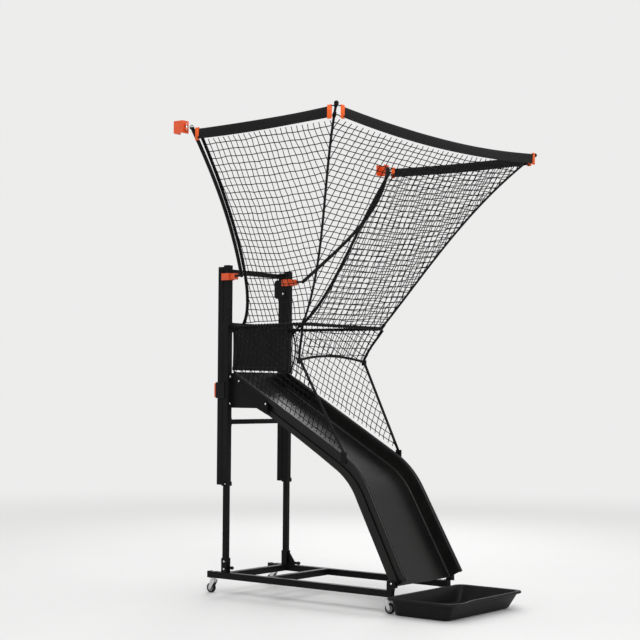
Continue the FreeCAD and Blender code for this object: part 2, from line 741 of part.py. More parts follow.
def latch_plate(side):
    """A stepped plate on the inner face of a mast tube, below and behind the pole clip."""
    outer = side * (HALF_LEG - D["mast_side"] / 2)
    inner = outer - side * 4
    back = MAST_Y + D["mast_side"] / 2 + 25
    low = D["head_height"] - 87
    step = D["head_height"] - 24
    high = D["head_height"] + 15
    lower = box(outer, inner, 6, back, low, step)
    upper = box(outer, inner, STRADDLE_BACK + 1, back, low, high)
    plate = fuse([lower, upper])
    rear = [edge for edge in plate.Edges if abs(edge.CenterOfMass.y - back) < 0.1
            and abs(edge.Vertexes[0].X - edge.Vertexes[1].X) > 1]
    return plate.makeFillet(16, rear)


def mast_brackets():
    """Straddle brackets with a socket for each of the hoop's ends, and the latch plates above them."""
    plate = 4
    boss_radius = D["hoop_rod"] / 2 + 3.5
    brackets = []
    for tag, side in SIDES:
        low = D["hoop_height"] - 30
        strap = straddle(side * HALF_LEG, plate, low, low + 52)
        end, corner = hoop_run(side)
        way = (corner - end).normalize()
        boss = Part.makeCylinder(boss_radius, 26, end - way * 4, way)
        seat = Part.makeCylinder(D["hoop_rod"] / 2, 60, end, way)
        brackets.append(fuse([strap, boss]).cut(seat))
        brackets.append(latch_plate(side))
    feature("mast_brackets", Part.makeCompound(brackets))


def arch_points():
    """Foot, shoulder and crown of the arch over the ball's way out, all in one leaning plane."""
    foot = V(D["chute_half"] + 2, -757, 762)
    shoulder = V(275, -504, 1226)
    lean = (shoulder - foot).y / (shoulder - foot).z
    crown_rise = 45
    crown = V(0, shoulder.y + crown_rise * lean, shoulder.z + crown_rise)
    return foot, shoulder, crown


def ball_arch():
    """The bent rod over the ball's way out, standing on the chute's lips, with a block at each shoulder."""
    foot, shoulder, crown = arch_points()
    mirror = V(-shoulder.x, shoulder.y, shoulder.z)
    points = [V(-foot.x, foot.y, foot.z), mirror, crown, shoulder, foot]
    arch = bent_rod(points, (18, 1300, 18), D["hoop_rod"] - 1)
    half = (D["hoop_rod"] - 1) / 2 + 2.5
    blocks = [box(side * shoulder.x - half, side * shoulder.x + half, shoulder.y - half, shoulder.y + half,
                  shoulder.z - 2 * half, shoulder.z + half) for _, side in SIDES]
    lugs = [box(side * (D["chute_half"] - 1), side * (D["chute_half"] + 8), foot.y - 16, foot.y + 16,
                foot.z - 50, foot.z + 6) for _, side in SIDES]
    chute = chute_block(40)
    feature("ball_arch", fuse([arch.cut(chute)] + blocks + [lug.cut(chute) for lug in lugs]))


# ---------------------------------------------------------------- poles

def bowed(line):
    """A smooth curve that starts at the first point, leans toward the two middle ones and ends at the last."""
    curve = Part.BezierCurve()
    curve.setPoles([V(*point) for point in line])
    return curve.toShape()


def bowed_rod(line, diameter):
    """A round rod along a bowed line."""
    path = bowed(line)
    section = Part.Wire(Part.makeCircle(diameter / 2, V(*line[0]), path.tangentAt(0)))
    return Part.Wire(path).makePipeShell([section], True, False)


def front_line(side):
    """A front pole, from the hoop's corner to its tip."""
    return ((side * (D["hoop_half"] - 8), D["hoop_front"] + 6, D["hoop_height"] + 8),
            (side * 435, -785, 1700), (side * 637, -915, 2060),
            (side * D["tip_half"], D["tip_y"], D["tip_height"]))


def back_line(side):
    """A back pole, from its elbow in front of the pole clip to its tip."""
    return ((side * (HALF_LEG + 7), -98, D["head_height"] + 3),
            (side * 476, -224, 1892), (side * 689, -314, 2072),
            (side * D["corner_half"], D["corner_y"], D["corner_height"]))


def seam_line(side):
    """The back edge of a side net, from the hoop to the strap."""
    return ((side * 230, -91, D["hoop_height"] + 15), (side * 317, -249, 1551), (side * 490, -258, 1935),
            (side * (D["corner_half"] - 16), D["corner_y"] - 30, D["corner_height"] - 12))


def pole_tip(line, diameter, ball_radius):
    """A ball on a pole's end, bored for the pole."""
    end = V(*line[3])
    way = bowed(line).tangentAt(1)
    ball = Part.makeSphere(ball_radius, end + way * (ball_radius - 4), way)
    return ball.cut(Part.makeCylinder(diameter / 2 + 0.3, 30, end - way * 30, way))


CLIP_NOSE = 38


def poles():
    """Two front poles, two stouter sleeved back poles with an elbow and ferrule each, and their ball tips."""
    tips = []
    for tag, side in SIDES:
        line = front_line(side)
        feature("front_pole_" + tag, bowed_rod(line, D["pole_rod"]))
        tips.append(pole_tip(line, D["pole_rod"], 11))
        line = back_line(side)
        elbow = V(*line[0])
        ferrule_end = STRADDLE_FRONT - CLIP_NOSE + 10
        ferrule = rod((elbow.x, ferrule_end, elbow.z), (elbow.x, elbow.y, elbow.z), D["pole_rod"] / 2)
        ball = Part.makeSphere(D["back_rod"] / 2, elbow)
        feature("back_pole_" + tag, fuse([bowed_rod(line, D["back_rod"]), ball, ferrule]))
        tips.append(pole_tip(line, D["back_rod"], 12))
    feature("pole_tips", Part.makeCompound(tips))


def pole_clips():
    """Orange clips that straddle the sleeves from the mast tubes and hold the back poles' ferrules."""
    z = D["head_height"]
    half = 18
    for tag, side in SIDES:
        x = side * HALF_LEG
        arms = straddle(x, 5, z - half, z + half)
        nose = round_corners(box(x - 15, x + 15, STRADDLE_FRONT - CLIP_NOSE, STRADDLE_FRONT - 3,
                                 z - half + 3, z + half - 1), "y")
        elbow = back_line(side)[0]
        hole = rod((elbow[0], STRADDLE_FRONT - CLIP_NOSE - 1, elbow[2]),
                   (elbow[0], STRADDLE_FRONT - CLIP_NOSE + 10, elbow[2]), D["pole_rod"] / 2)
        feature("pole_clip_" + tag, fuse([arms, nose]).cut(hole))


# ---------------------------------------------------------------- net, straps and clips

def panel_between(first, second, inward, margin, levels=5, end_share=0.985, start_share=0.02):
    """A thin lofted sheet between two bowed lines, held back from both by a margin."""
    wires = []
    for level in range(levels):
        share = start_share + (end_share - start_share) * level / (levels - 1)
        a = bowed(first).valueAt(share)
        b = bowed(second).valueAt(share)
        across = (b - a).normalize()
        a = a + across * margin
        b = b - across * margin
        depth = V(*inward) * D["net_thickness"]
        wires.append(Part.makePolygon([a, b, b + depth, a + depth, a]))
    return Part.makeLoft(wires, True, True)


def net_panels():
    """Two side sheets and one front sheet; the funnel's back is open, where the goal's rim comes in."""
    for tag, side in SIDES:
        sheet_shape = panel_between(seam_line(side), front_line(side), (side * 0.9, 0, -0.43), 13)
        feature("net_side_" + tag, sheet_shape)
    feature("net_front", panel_between(front_line(-1), front_line(1), (0, -0.86, -0.5), 14))


def strap_top(side):
    """Height of the straps' upper edge at a front tip; the left one hangs lower."""
    return D["tip_height"] + 6 - (D["left_strap_drop"] if side < 0 else 0)


STRAP_END = D["tip_y"] + 36


def straps():
    """Webbing bands along the funnel's three top edges; the front one sags between the tips."""
    width = D["strap_width"]
    thick = D["strap_thickness"]
    drop = V(0, 0, -width)
    for tag, side in SIDES:
        start = V(side * (D["corner_half"] + 4), D["corner_y"] - 40, strap_top(side) - 6)
        end = V(side * (D["tip_half"] + 4), STRAP_END, strap_top(side))
        face = Part.Face(Part.makePolygon([start, end, end + drop, start + drop, start]))
        feature("side_strap_" + tag, face.extrude(V(side * thick, 0, 0)))
    half = D["tip_half"] - 34
    y = D["tip_y"] - 12
    left = V(-half, y, strap_top(-1))
    right = V(half, y, strap_top(1))
    dip = (left + right) / 2 - V(0, 0, D["strap_sag"])
    upper = Part.Arc(left, dip, right).toShape()
    lower = Part.Arc(right + drop, dip + drop, left + drop).toShape()
    ends = [Part.LineSegment(right, right + drop).toShape(), Part.LineSegment(left + drop, left).toShape()]
    face = Part.Face(Part.Wire([upper, ends[0], lower, ends[1]]))
    feature("front_strap", face.extrude(V(0, -thick, 0)))


def net_skirt():
    """The loose net under the hoop: two sides that reach the chute's lips, and a front over the arch."""
    z = D["hoop_height"] - D["hoop_rod"] / 2 - 4
    thick = D["net_thickness"]
    foot, shoulder, crown = arch_points()
    lip = chute_points(-12)
    slope = math.tan(math.radians(D["chute_slope"]))
    sheets = []
    for tag, side in SIDES:
        low_x = side * (D["chute_half"] + 2)
        back_y = -40
        low_front = foot.y + 40
        top_low = lip[0].z + (back_y - lip[0].y) * slope
        front_low = lip[0].z + (low_front - lip[0].y) * slope
        lower = [V(low_x, back_y, top_low), V(low_x, low_front, front_low)]
        middle = [V(side * 246, back_y, shoulder.z - 6), V(side * (shoulder.x + 12), shoulder.y + 20, shoulder.z - 6)]
        upper = [V(side * 256, back_y, z), V(side * 338, D["hoop_front"] + 30, z)]
        wires = []
        for a, b in (lower, middle, upper):
            out = V(side * thick, 0, 0)
            wires.append(Part.makePolygon([a, b, b + out, a + out, a]))
        sheets.append(Part.makeLoft(wires, True, True))
    wires = []
    for half, y, height in ((240, crown.y - 18, crown.z + 22), (300, D["hoop_front"], z)):
        a = V(-half, y, height)
        b = V(half, y, height)
        out = V(0, -thick, 0)
        wires.append(Part.makePolygon([a, b, b + out, a + out, a]))
    sheets.append(Part.makeLoft(wires, True, True))
    feature("net_skirt", Part.makeCompound(sheets))


def back_panel():
    """The plain fabric panel between the sleeves, from the chute's top end up to the hoop's height."""
    half = HALF_LEG - D["sleeve_side"] / 2 - 12
    feature("back_panel", box(-half, half, -14, -6, D["chute_top_z"] + 8, D["hoop_height"] + 22))


def strap_tabs():
    """Orange webbing tabs at the strap ends: two at each front tip and one at each back corner."""
    tabs = []
    width = 22
    thick = 7
    high = 60
    front = D["tip_y"] - 11
    for tag, side in SIDES:
        z = strap_top(side) + 2
        x = side * (D["tip_half"] + 3)
        tabs.append(box(x, x + side * thick, STRAP_END - width, STRAP_END, z - high, z))
        x = side * (D["tip_half"] - 34)
        tabs.append(box(x, x + side * width, front, front - thick, z - high, z))
        x = side * (D["corner_half"] + 3)
        y = D["corner_y"] - 40
        tabs.append(box(x, x + side * thick, y, y + width, z - high - 6, z - 6))
    feature("strap_tabs", Part.makeCompound(tabs))


def clip_pivot(side):
    """The middle of the upright eye that a board clip turns on."""
    return V(side * (D["corner_half"] + 28), D["corner_y"] + 15, D["corner_height"] + 8)


EYE_RADIUS = 4
EYE_HEIGHT = 34


def mast_fittings():
    """A steel eye at each back corner that the board clip hangs from, and a bolt on each latch plate."""
    fittings = []
    for tag, side in SIDES:
        pivot = clip_pivot(side)
        stem_end = (side * (D["corner_half"] + 13), D["corner_y"] - 20, pivot.z)
        stem = rod((pivot.x, pivot.y, pivot.z), stem_end, EYE_RADIUS - 1)
        post = Part.makeCylinder(EYE_RADIUS, EYE_HEIGHT, pivot - V(0, 0, EYE_HEIGHT / 2))
        fittings.append(fuse([stem, post]))
        plate_face = side * (HALF_LEG - D["mast_side"] / 2 - 4)
        fittings.append(button_bolt((plate_face, 22, D["head_height"] - 62), (-side, 0, 0), 7))
    feature("mast_fittings", Part.makeCompound(fittings))


def board_clips():
    """Orange jaws that slip over the side edges of the goal's board and turn on the corner eyes."""
    gap = 46
    wall = 6
    tall = 60
    deep = 44
    ear_height = 7
    ear_radius = 2 * EYE_RADIUS
    for tag, side in SIDES:
        pivot = clip_pivot(side)
        z0 = pivot.z - tall / 2
        y0 = pivot.y + ear_radius
        x_out = pivot.x + side * 20
        x_in = x_out - side * deep
        jaw = box(x_in, x_out, y0, y0 + gap + 2 * wall, z0, z0 + tall)
        jaw = jaw.cut(box(x_in - side, x_out - side * wall, y0 + wall, y0 + wall + gap, z0 - 1, z0 + tall + 1))
        ears = []
        for height in (7.5, -7.5 - ear_height):
            low = pivot.z + height
            ears.append(Part.makeCylinder(ear_radius, ear_height, V(pivot.x, pivot.y, low)))
            ears.append(box(pivot.x - ear_radius, pivot.x + ear_radius, pivot.y, y0 + 2, low, low + ear_height))
        jaw = fuse([jaw] + ears)
        bore = Part.makeCylinder(EYE_RADIUS + 0.08, tall, pivot - V(0, 0, tall / 2))
        feature("board_clip_" + tag, jaw.cut(bore))


# ---------------------------------------------------------------- tray

def rounded_wire(x0, x1, y0, y1, z, radius):
    """A level rectangle with rounded corners."""
    face = Part.Face(Part.makePolygon([V(x0, y0, z), V(x1, y0, z), V(x1, y1, z), V(x0, y1, z), V(x0, y0, z)]))
    block = face.extrude(V(0, 0, 10))
    uprights_only = [edge for edge in block.Edges if abs(edge.Vertexes[0].Z - edge.Vertexes[1].Z) > 5]
    block = block.makeFillet(radius, uprights_only)
    bottom = [item for item in block.Faces if abs(item.CenterOfMass.z - z) < 0.01]
    return bottom[0].OuterWire


def ball_tray():
    """A moulded open tray with flared sides and a rim that turns down."""
    wall = D["tray_wall"]
    top = D["tray_height"]
    rim_width = 14
    rim_drop = 11
    rim_wall = 3
    low = (D["tray_floor_half"], D["tray_floor_front"], D["tray_floor_back"])
    high = (D["tray_half"] - rim_width, D["tray_front"] + rim_width, D["tray_back"] - rim_width)

    def loft(shrink, z0, z1):
        wires = [rounded_wire(-half + shrink, half - shrink, front + shrink, back - shrink, z, radius)
                 for (half, front, back), z, radius in ((low, z0, 30), (high, z1, 34))]
        return Part.makeLoft(wires, True, True)

    outer = loft(0, 0, top)
    inner = loft(wall, wall, top + 0.5)
    half = D["tray_half"]
    edge = rounded_wire(-half, half, D["tray_front"], D["tray_back"], top - rim_drop, 44)
    rim = Part.Face(edge).extrude(V(0, 0, rim_drop))
    under = rounded_wire(-half + rim_wall, half - rim_wall, D["tray_front"] + rim_wall, D["tray_back"] - rim_wall,
                         top - rim_drop - 1, 42)
    rim = rim.cut(Part.Face(under).extrude(V(0, 0, rim_drop - rim_wall)))
    feature("ball_tray", fuse([outer, rim]).cut(inner))


# ---------------------------------------------------------------- build and write

base_frame()
foot_brackets()
foot_pins()
uprights()
sleeve_collars()
tube_caps("sleeve_caps", D["sleeve_side"], D["sleeve_wall"], 0, D["upright_top"])
tube_caps("mast_caps", D["mast_side"], D["mast_wall"], MAST_Y, D["mast_top"])
chute_brace()
mast_guides()
mast_locks()
ball_chute()
side_plates()
outlet_brackets()
chute_bolts()
frame_bolts()
casters()
mast()
net_hoop()
mast_brackets()
ball_arch()
poles()
pole_clips()
net_panels()
straps()
net_skirt()
back_panel()
strap_tabs()
mast_fittings()
board_clips()
ball_tray()
doc.recompute()

for obj in doc.Objects:
    if "Invalid" in obj.State or "Error" in obj.State:
        raise RuntimeError("failed object: " + obj.Label)
for obj in subparts:
    if obj.Shape.isNull() or not obj.Shape.isValid() or not obj.Shape.Solids:
        raise RuntimeError("bad shape: " + obj.Label)

os.makedirs("parts", exist_ok=True)
whole = FreeCAD.BoundBox()
for obj in subparts:
    obj.Shape.exportStep("parts/%s.step" % obj.Label)
    whole.add(obj.Shape.BoundBox)
print("sub-parts", len(subparts))
print("box x %.1f %.1f y %.1f %.1f z %.1f %.1f" % (whole.XMin, whole.XMax, whole.YMin, whole.YMax,
                                                   whole.ZMin, whole.ZMax))
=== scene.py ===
"""Looks of the ball return machine: nets, straps, chute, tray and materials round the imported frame."""

import math
import random

import bpy
from mathutils import Matrix, Vector, noise


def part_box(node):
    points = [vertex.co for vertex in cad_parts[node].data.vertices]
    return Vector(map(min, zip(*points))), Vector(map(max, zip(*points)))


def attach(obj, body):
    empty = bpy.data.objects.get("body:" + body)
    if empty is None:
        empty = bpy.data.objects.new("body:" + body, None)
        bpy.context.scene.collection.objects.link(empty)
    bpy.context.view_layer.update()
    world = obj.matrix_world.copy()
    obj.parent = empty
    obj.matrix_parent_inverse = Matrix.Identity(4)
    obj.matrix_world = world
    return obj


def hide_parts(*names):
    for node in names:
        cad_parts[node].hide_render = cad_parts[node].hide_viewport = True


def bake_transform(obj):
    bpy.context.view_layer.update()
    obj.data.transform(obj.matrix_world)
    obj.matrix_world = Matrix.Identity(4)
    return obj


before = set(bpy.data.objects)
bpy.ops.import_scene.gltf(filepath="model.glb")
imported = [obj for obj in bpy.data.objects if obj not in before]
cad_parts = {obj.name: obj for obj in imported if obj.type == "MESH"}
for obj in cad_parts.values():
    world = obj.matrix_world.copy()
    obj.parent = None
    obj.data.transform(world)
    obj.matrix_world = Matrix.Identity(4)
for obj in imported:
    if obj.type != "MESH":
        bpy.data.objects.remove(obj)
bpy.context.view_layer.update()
# Without a seed, mathutils places its vector noise by the clock, and the nets differ from run to run.
noise.seed_set(5)
SIDES = (("l", -1), ("r", 1))
UP = Vector((0, 0, 1))

# ---- places read from the frame


def middle(node):
    low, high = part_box(node)
    return (low + high) / 2


UPRIGHT = middle("inner_leg_r")
UPRIGHT_Y = UPRIGHT.y
HALF_LEG = UPRIGHT.x
# The hoop's box takes in its pole sockets, so its rod and its front corners are sizes of their own.
HOOP_LOW, HOOP_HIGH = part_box("net_hoop")
HOOP_RADIUS = 0.0075
HOOP_Z = HOOP_LOW.z + HOOP_RADIUS
HOOP_FRONT = UPRIGHT_Y - 0.580
HOOP_HALF = 0.347
CHUTE_LOW, CHUTE_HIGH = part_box("ball_chute")
TRAY_LOW, TRAY_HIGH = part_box("ball_tray")
STRAP_LOW, STRAP_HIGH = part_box("front_strap")
SIDE_STRAP_LOW, SIDE_STRAP_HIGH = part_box("side_strap_r")
STRAP_WIDTH = 0.050
STRAP_THICKNESS = 0.0034
# How much lower the straps meet at the left tip, and how far the front one sags below its ends.
LEFT_DROP = SIDE_STRAP_HIGH.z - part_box("side_strap_l")[1].z
STRAP_SAG = STRAP_HIGH.z - STRAP_LOW.z - STRAP_WIDTH - LEFT_DROP / 2


def at(x, y, z):
    """A point whose y is counted from the uprights, as the design's own sizes are."""
    return Vector((x, y + UPRIGHT_Y, z))


def clamp(share):
    """A share kept from 0 to 1."""
    return max(0.0, min(1.0, share))


def shares(steps):
    """Even steps from 0 to 1."""
    return [step / steps for step in range(steps + 1)]


def distances(points):
    """How far along a line each of its points lies."""
    reached = [0.0]
    for first, second in zip(points, points[1:]):
        reached.append(reached[-1] + (second - first).length)
    return reached


class Bow:
    """A bowed line that leaves its first guide toward the second and reaches the last from the third."""

    def __init__(self, *guides):
        self.guides = guides
        self.steps = 64
        self.reaches = distances([self.point(share) for share in shares(self.steps)])

    def point(self, share):
        first, second, third, last = self.guides
        rest = 1 - share
        start = first * rest ** 3 + second * (3 * rest ** 2 * share)
        return start + third * (3 * rest * share ** 2) + last * share ** 3

    def way(self, share):
        return (self.point(min(share + 0.01, 1)) - self.point(max(share - 0.01, 0))).normalized()

    def share_at(self, reach):
        """The share at a distance along the line."""
        step = 0
        while step < self.steps - 1 and self.reaches[step + 1] < reach:
            step += 1
        rest = (reach - self.reaches[step]) / (self.reaches[step + 1] - self.reaches[step])
        return clamp((step + rest) / self.steps)

    def share_where(self, axis, value):
        """The share at which one coordinate, which rises or falls all the way, reaches a value."""
        rising = self.point(1)[axis] > self.point(0)[axis]
        low, high = 0.0, 1.0
        for _ in range(30):
            half = (low + high) / 2
            if (self.point(half)[axis] < value) == rising:
                low = half
            else:
                high = half
        return (low + high) / 2


def front_line(side):
    """A front pole, from the hoop's corner to its ball tip."""
    foot = Vector((side * (HOOP_HALF - 0.008), HOOP_FRONT + 0.006, HOOP_Z + 0.008))
    return Bow(foot, at(side * 0.435, -0.785, 1.700), at(side * 0.637, -0.915, 2.060),
               at(side * 0.885, -1.178, 2.343))


def back_line(side):
    """A back pole, from its elbow in front of the pole clip to its ball tip."""
    return Bow(at(side * 0.258, -0.098, 1.668), at(side * 0.476, -0.224, 1.892),
               at(side * 0.689, -0.314, 2.072), at(side * 0.822, -0.262, 2.334))


def seam_line(side):
    """The rope along the back edge of a side net."""
    return Bow(at(side * 0.230, -0.091, 1.418), at(side * 0.317, -0.249, 1.551),
               at(side * 0.490, -0.258, 1.935), at(side * 0.806, -0.292, 2.322))


# ---- mesh helpers


def frames(line):
    """Each point of a line with two ways square to it, carried along without a twist."""
    found = []
    normal = None
    for index, point in enumerate(line):
        way = (line[min(index + 1, len(line) - 1)] - line[max(index - 1, 0)]).normalized()
        if normal is None:
            normal = way.orthogonal().normalized()
        normal = (normal - way * normal.dot(way)).normalized()
        found.append((point, normal, way.cross(normal)))
    return found


def turned_way(normal, side, turn):
    """The way square to a line at a turn round it."""
    return normal * math.cos(turn) + side * math.sin(turn)


class Shell:
    """Vertices, faces and texture coordinates gathered for one mesh."""

    def __init__(self):
        self.points = []
        self.faces = []
        self.corners = []

    def add(self, points, faces, corners):
        first = len(self.points)
        self.points.extend(points)
        self.faces.extend([tuple(first + index for index in face) for face in faces])
        self.corners.extend(corners)

    def grid(self, rows, closed=False):
        """Rows of points as a sheet of quads; u runs along a row and v from row to row, in metres."""
        across = len(rows[0])
        steps = across if closed else across - 1
        u = distances(rows[0] + rows[0][:1])
        v = distances([row[0] for row in rows])
        points = [point for row in rows for point in row]
        faces = []
        corners = []
        for level in range(len(rows) - 1):
            for index in range(steps):
                following = (index + 1) % across
                low = level * across
                high = low + across
                faces.append((low + index, low + following, high + following, high + index))
                corners.append(((u[index], v[level]), (u[index + 1], v[level]),
                                (u[index + 1], v[level + 1]), (u[index], v[level + 1])))
        self.add(points, faces, corners)

    def lid(self, ring, flipped=False):
        """A flat face over a ring of points."""
        order = list(range(len(ring)))
        if flipped:
            order.reverse()
        self.add(ring, [tuple(order)], [tuple((ring[index].x, ring[index].y) for index in order)])

    def solid(self, rows):
        """A skin over a row of rings, with a lid at each end."""
        self.grid(rows, closed=True)
        self.lid(rows[0], flipped=True)
        self.lid(rows[-1])

    def tube(self, line, radius, sides=6, capped=True):
        """A round cord or rod along a line."""
        turns = [2 * math.pi * step / sides for step in range(sides)]
        rows = [[point + turned_way(normal, side, turn) * radius for turn in turns]
                for point, normal, side in frames(line)]
        if capped:
            self.solid(rows)
        else:
            self.grid(rows, closed=True)

    def build(self, name, material, smooth=True):
        mesh = bpy.data.meshes.new(name)
        mesh.from_pydata([tuple(point) for point in self.points], [], self.faces)
        layer = mesh.uv_layers.new(name="UVMap")
        flat = [value for face in self.corners for corner in face for value in corner]
        layer.data.foreach_set("uv", flat)
        mesh.materials.append(material)
        mesh.polygons.foreach_set("use_smooth", [smooth] * len(mesh.polygons))
        mesh.update()
        return add_object(name, mesh)


def join_shells(shells):
    """One shell out of several."""
    whole = Shell()
    for shell in shells:
        whole.add(shell.points, shell.faces, shell.corners)
    return whole


def add_object(name, data):
    obj = bpy.data.objects.new(name, data)
    bpy.context.scene.collection.objects.link(obj)
    return obj


def add_modifier(obj, kind, **settings):
    modifier = obj.modifiers.new(kind.lower(), kind)
    for key, value in settings.items():
        setattr(modifier, key, value)


def smooth_by_angle(obj, degrees=35):
    """Smooth shading that breaks at edges sharper than an angle."""
    obj.data.set_sharp_from_angle(angle=math.radians(degrees))


def name_piece(nodes):
    """Hide the nodes that a piece stands for."""
    if nodes:
        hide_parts(*nodes)


def piece(obj, body, slot, *nodes):
    """Put a finished piece on its body."""
    name_piece(nodes)
    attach(obj, body)
    return obj


def soft_piece(obj, slot, start_z, end_z, *nodes):
    """Bake a soft piece's placement into its mesh and hide the nodes that it stands for; start_z and end_z
    are not used.
    """
    name_piece(nodes)
    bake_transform(obj)
    return obj


# ---- materials


def rgba(red, green, blue):
    return (red, green, blue, 1.0)


def grey(level, blue):
    """A near grey: its red and green are the same."""
    return rgba(level, level, blue)


# The black skins are dull, and mirror far less than bare plastic would; the chute's is a little brighter.
BLACK_GLOSS = 0.08
CHUTE_GLOSS = 0.20
PLAIN_GLOSS = 0.50
BACKDROP = grey(0.845, 0.840)


class Nodes:
    """A material's node tree, with short ways to add and join nodes."""

    def __init__(self, name):
        self.material = bpy.data.materials.new(name)
        self.material.use_nodes = True
        self.tree = self.material.node_tree
        self.shader = self.tree.nodes["Principled BSDF"]
        # Positions in metres, the same for every piece.
        self.place = self.add("ShaderNodeTexCoord").outputs["Object"]

    def add(self, kind, settings=None, **inputs):
        node = self.tree.nodes.new(kind)
        for key, value in (settings or {}).items():
            setattr(node, key, value)
        for key, value in inputs.items():
            self.join(value, node.inputs[key.replace("_", " ")])
        return node

    def join(self, value, socket):
        if isinstance(value, bpy.types.NodeSocket):
            self.tree.links.new(value, socket)
        else:
            socket.default_value = value

    def surface(self):
        """Metres along and across a piece's own skin."""
        return self.add("ShaderNodeUVMap", {"uv_map": "UVMap"}).outputs["UV"]

    def turned(self, vector, degrees):
        turn = (0.0, 0.0, math.radians(degrees))
        return self.add("ShaderNodeMapping", Vector=vector, Rotation=turn).outputs["Vector"]

    def wave(self, vector, scale, distortion=0.0, direction="X", detail=2.0):
        node = self.add("ShaderNodeTexWave", {"bands_direction": direction}, Vector=vector, Scale=scale,
                        Distortion=distortion, Detail=detail)
        return node.outputs["Fac"]

    def noise(self, scale, detail=3.0, rough=0.5, stretch=None):
        place = self.place
        if stretch:
            place = self.add("ShaderNodeMapping", Vector=place, Scale=stretch).outputs["Vector"]
        node = self.add("ShaderNodeTexNoise", Vector=place, Scale=scale, Detail=detail, Roughness=rough)
        return node.outputs["Fac"]

    def spread(self, value, low, high, from_low=0.3, from_high=0.7, kind="LINEAR"):
        """Map a value's usual range on to another one."""
        node = self.add("ShaderNodeMapRange", {"interpolation_type": kind}, Value=value, From_Min=from_low,
                        From_Max=from_high, To_Min=low, To_Max=high)
        return node.outputs["Result"]

    def maths(self, operation, first, second=0.0):
        node = self.add("ShaderNodeMath", {"operation": operation})
        self.join(first, node.inputs[0])
        self.join(second, node.inputs[1])
        return node.outputs["Value"]

    def blend(self, share, first, second):
        node = self.add("ShaderNodeMix", {"data_type": "RGBA"})
        self.join(share, node.inputs["Factor"])
        self.join(first, node.inputs["A"])
        self.join(second, node.inputs["B"])
        return node.outputs["Result"]

    def drift(self, value, dark, pale):
        """A slow drift between two tones."""
        return self.blend(self.spread(value, 0.0, 1.0), dark, pale)

    def bump(self, height, distance, strength):
        node = self.add("ShaderNodeBump", Strength=strength, Distance=distance, Height=height)
        return node.outputs["Normal"]

    def painted_edge_highlight(self, radius):
        """Painted highlight: from 0 on flats to 1 on sharp edges, broken up by noise, where rounded edges
        would catch the light.
        """
        rounded = self.add("ShaderNodeBevel", {"samples": 4}, Radius=radius).outputs["Normal"]
        straight = self.add("ShaderNodeNewGeometry").outputs["Normal"]
        dot = self.add("ShaderNodeVectorMath", {"operation": "DOT_PRODUCT"})
        self.join(rounded, dot.inputs[0])
        self.join(straight, dot.inputs[1])
        edge = self.spread(dot.outputs["Value"], 1.0, 0.0, 0.80, 0.99)
        patch = self.spread(self.noise(60.0, 4.0), 0.2, 1.0, 0.35, 0.65)
        return self.maths("MULTIPLY", edge, patch)

    def finish(self, colour, rough, bump=None, gloss=BLACK_GLOSS, **others):
        """Join a skin's colour, roughness, bump, gloss and whatever else it has to the shader."""
        inputs = {"Base Color": colour, "Roughness": rough, "Specular IOR Level": gloss, **others}
        if bump is not None:
            inputs["Normal"] = bump
        for key, value in inputs.items():
            self.join(value, self.shader.inputs[key.replace("_", " ")])
        return self.material


def powder_coat():
    """Satin black powder coat: orange peel, faint dust and paler edges painted on as a highlight."""
    nodes = Nodes("powder_coat_black")
    cloud = nodes.noise(7.0, 4.0)
    fine = nodes.noise(900.0, 2.0)
    base = nodes.drift(cloud, grey(0.0040, 0.0043), grey(0.0075, 0.0080))
    # The edges are blended to a paler grey as a painted highlight.
    colour = nodes.blend(nodes.painted_edge_highlight(0.0015), base, grey(0.030, 0.031))
    rough = nodes.spread(cloud, 0.30, 0.42)
    return nodes.finish(colour, rough, nodes.bump(fine, 0.00006, 0.6))


def moulded(name, dark, pale, smooth, matt, grain, gloss=BLACK_GLOSS):
    """Moulded plastic: a fine pebbled grain, slow colour drift and paler rubbed streaks."""
    nodes = Nodes(name)
    cloud = nodes.noise(5.0, 5.0, 0.6)
    pebble = nodes.add("ShaderNodeTexVoronoi", {"feature": "SMOOTH_F1"}, Vector=nodes.place, Scale=grain)
    scuff = nodes.noise(3.0, 6.0, 0.7, stretch=(60.0, 4.0, 4.0))
    base = nodes.drift(cloud, dark, pale)
    rubbed = [2.2 * value for value in pale[:3]] + [1.0]
    colour = nodes.blend(nodes.spread(scuff, 0.0, 0.35, 0.55, 0.80), base, rubbed)
    rough = nodes.maths("ADD", nodes.spread(cloud, smooth, matt), nodes.spread(scuff, -0.03, 0.05))
    return nodes.finish(colour, rough, nodes.bump(pebble.outputs["Distance"], 0.00012, 0.45), gloss)


def chute_plastic():
    dark, pale = grey(0.0042, 0.0040), rgba(0.0070, 0.0069, 0.0065)
    return moulded("moulded_chute", dark, pale, 0.26, 0.36, 750.0, CHUTE_GLOSS)


def tray_plastic():
    dark, pale = grey(0.0080, 0.0080), grey(0.0130, 0.0127)
    return moulded("moulded_tray", dark, pale, 0.34, 0.46, 650.0)


def black_plastic():
    dark, pale = grey(0.0050, 0.0053), grey(0.0100, 0.0103)
    return moulded("moulded_black", dark, pale, 0.36, 0.50, 1200.0)


def orange_plastic():
    """Glass-filled orange nylon: speckle, slight mottling and paler edges painted on as a highlight."""
    nodes = Nodes("moulded_orange")
    cloud = nodes.noise(40.0, 4.0)
    speckle = nodes.noise(1500.0, 2.0)
    base = nodes.drift(cloud, rgba(0.56, 0.058, 0.008), rgba(0.70, 0.085, 0.012))
    # The edges are blended to a paler orange as a painted highlight.
    colour = nodes.blend(nodes.painted_edge_highlight(0.001), base, rgba(0.85, 0.19, 0.05))
    rough = nodes.spread(cloud, 0.34, 0.48)
    return nodes.finish(colour, rough, nodes.bump(speckle, 0.00005, 0.5), PLAIN_GLOSS)


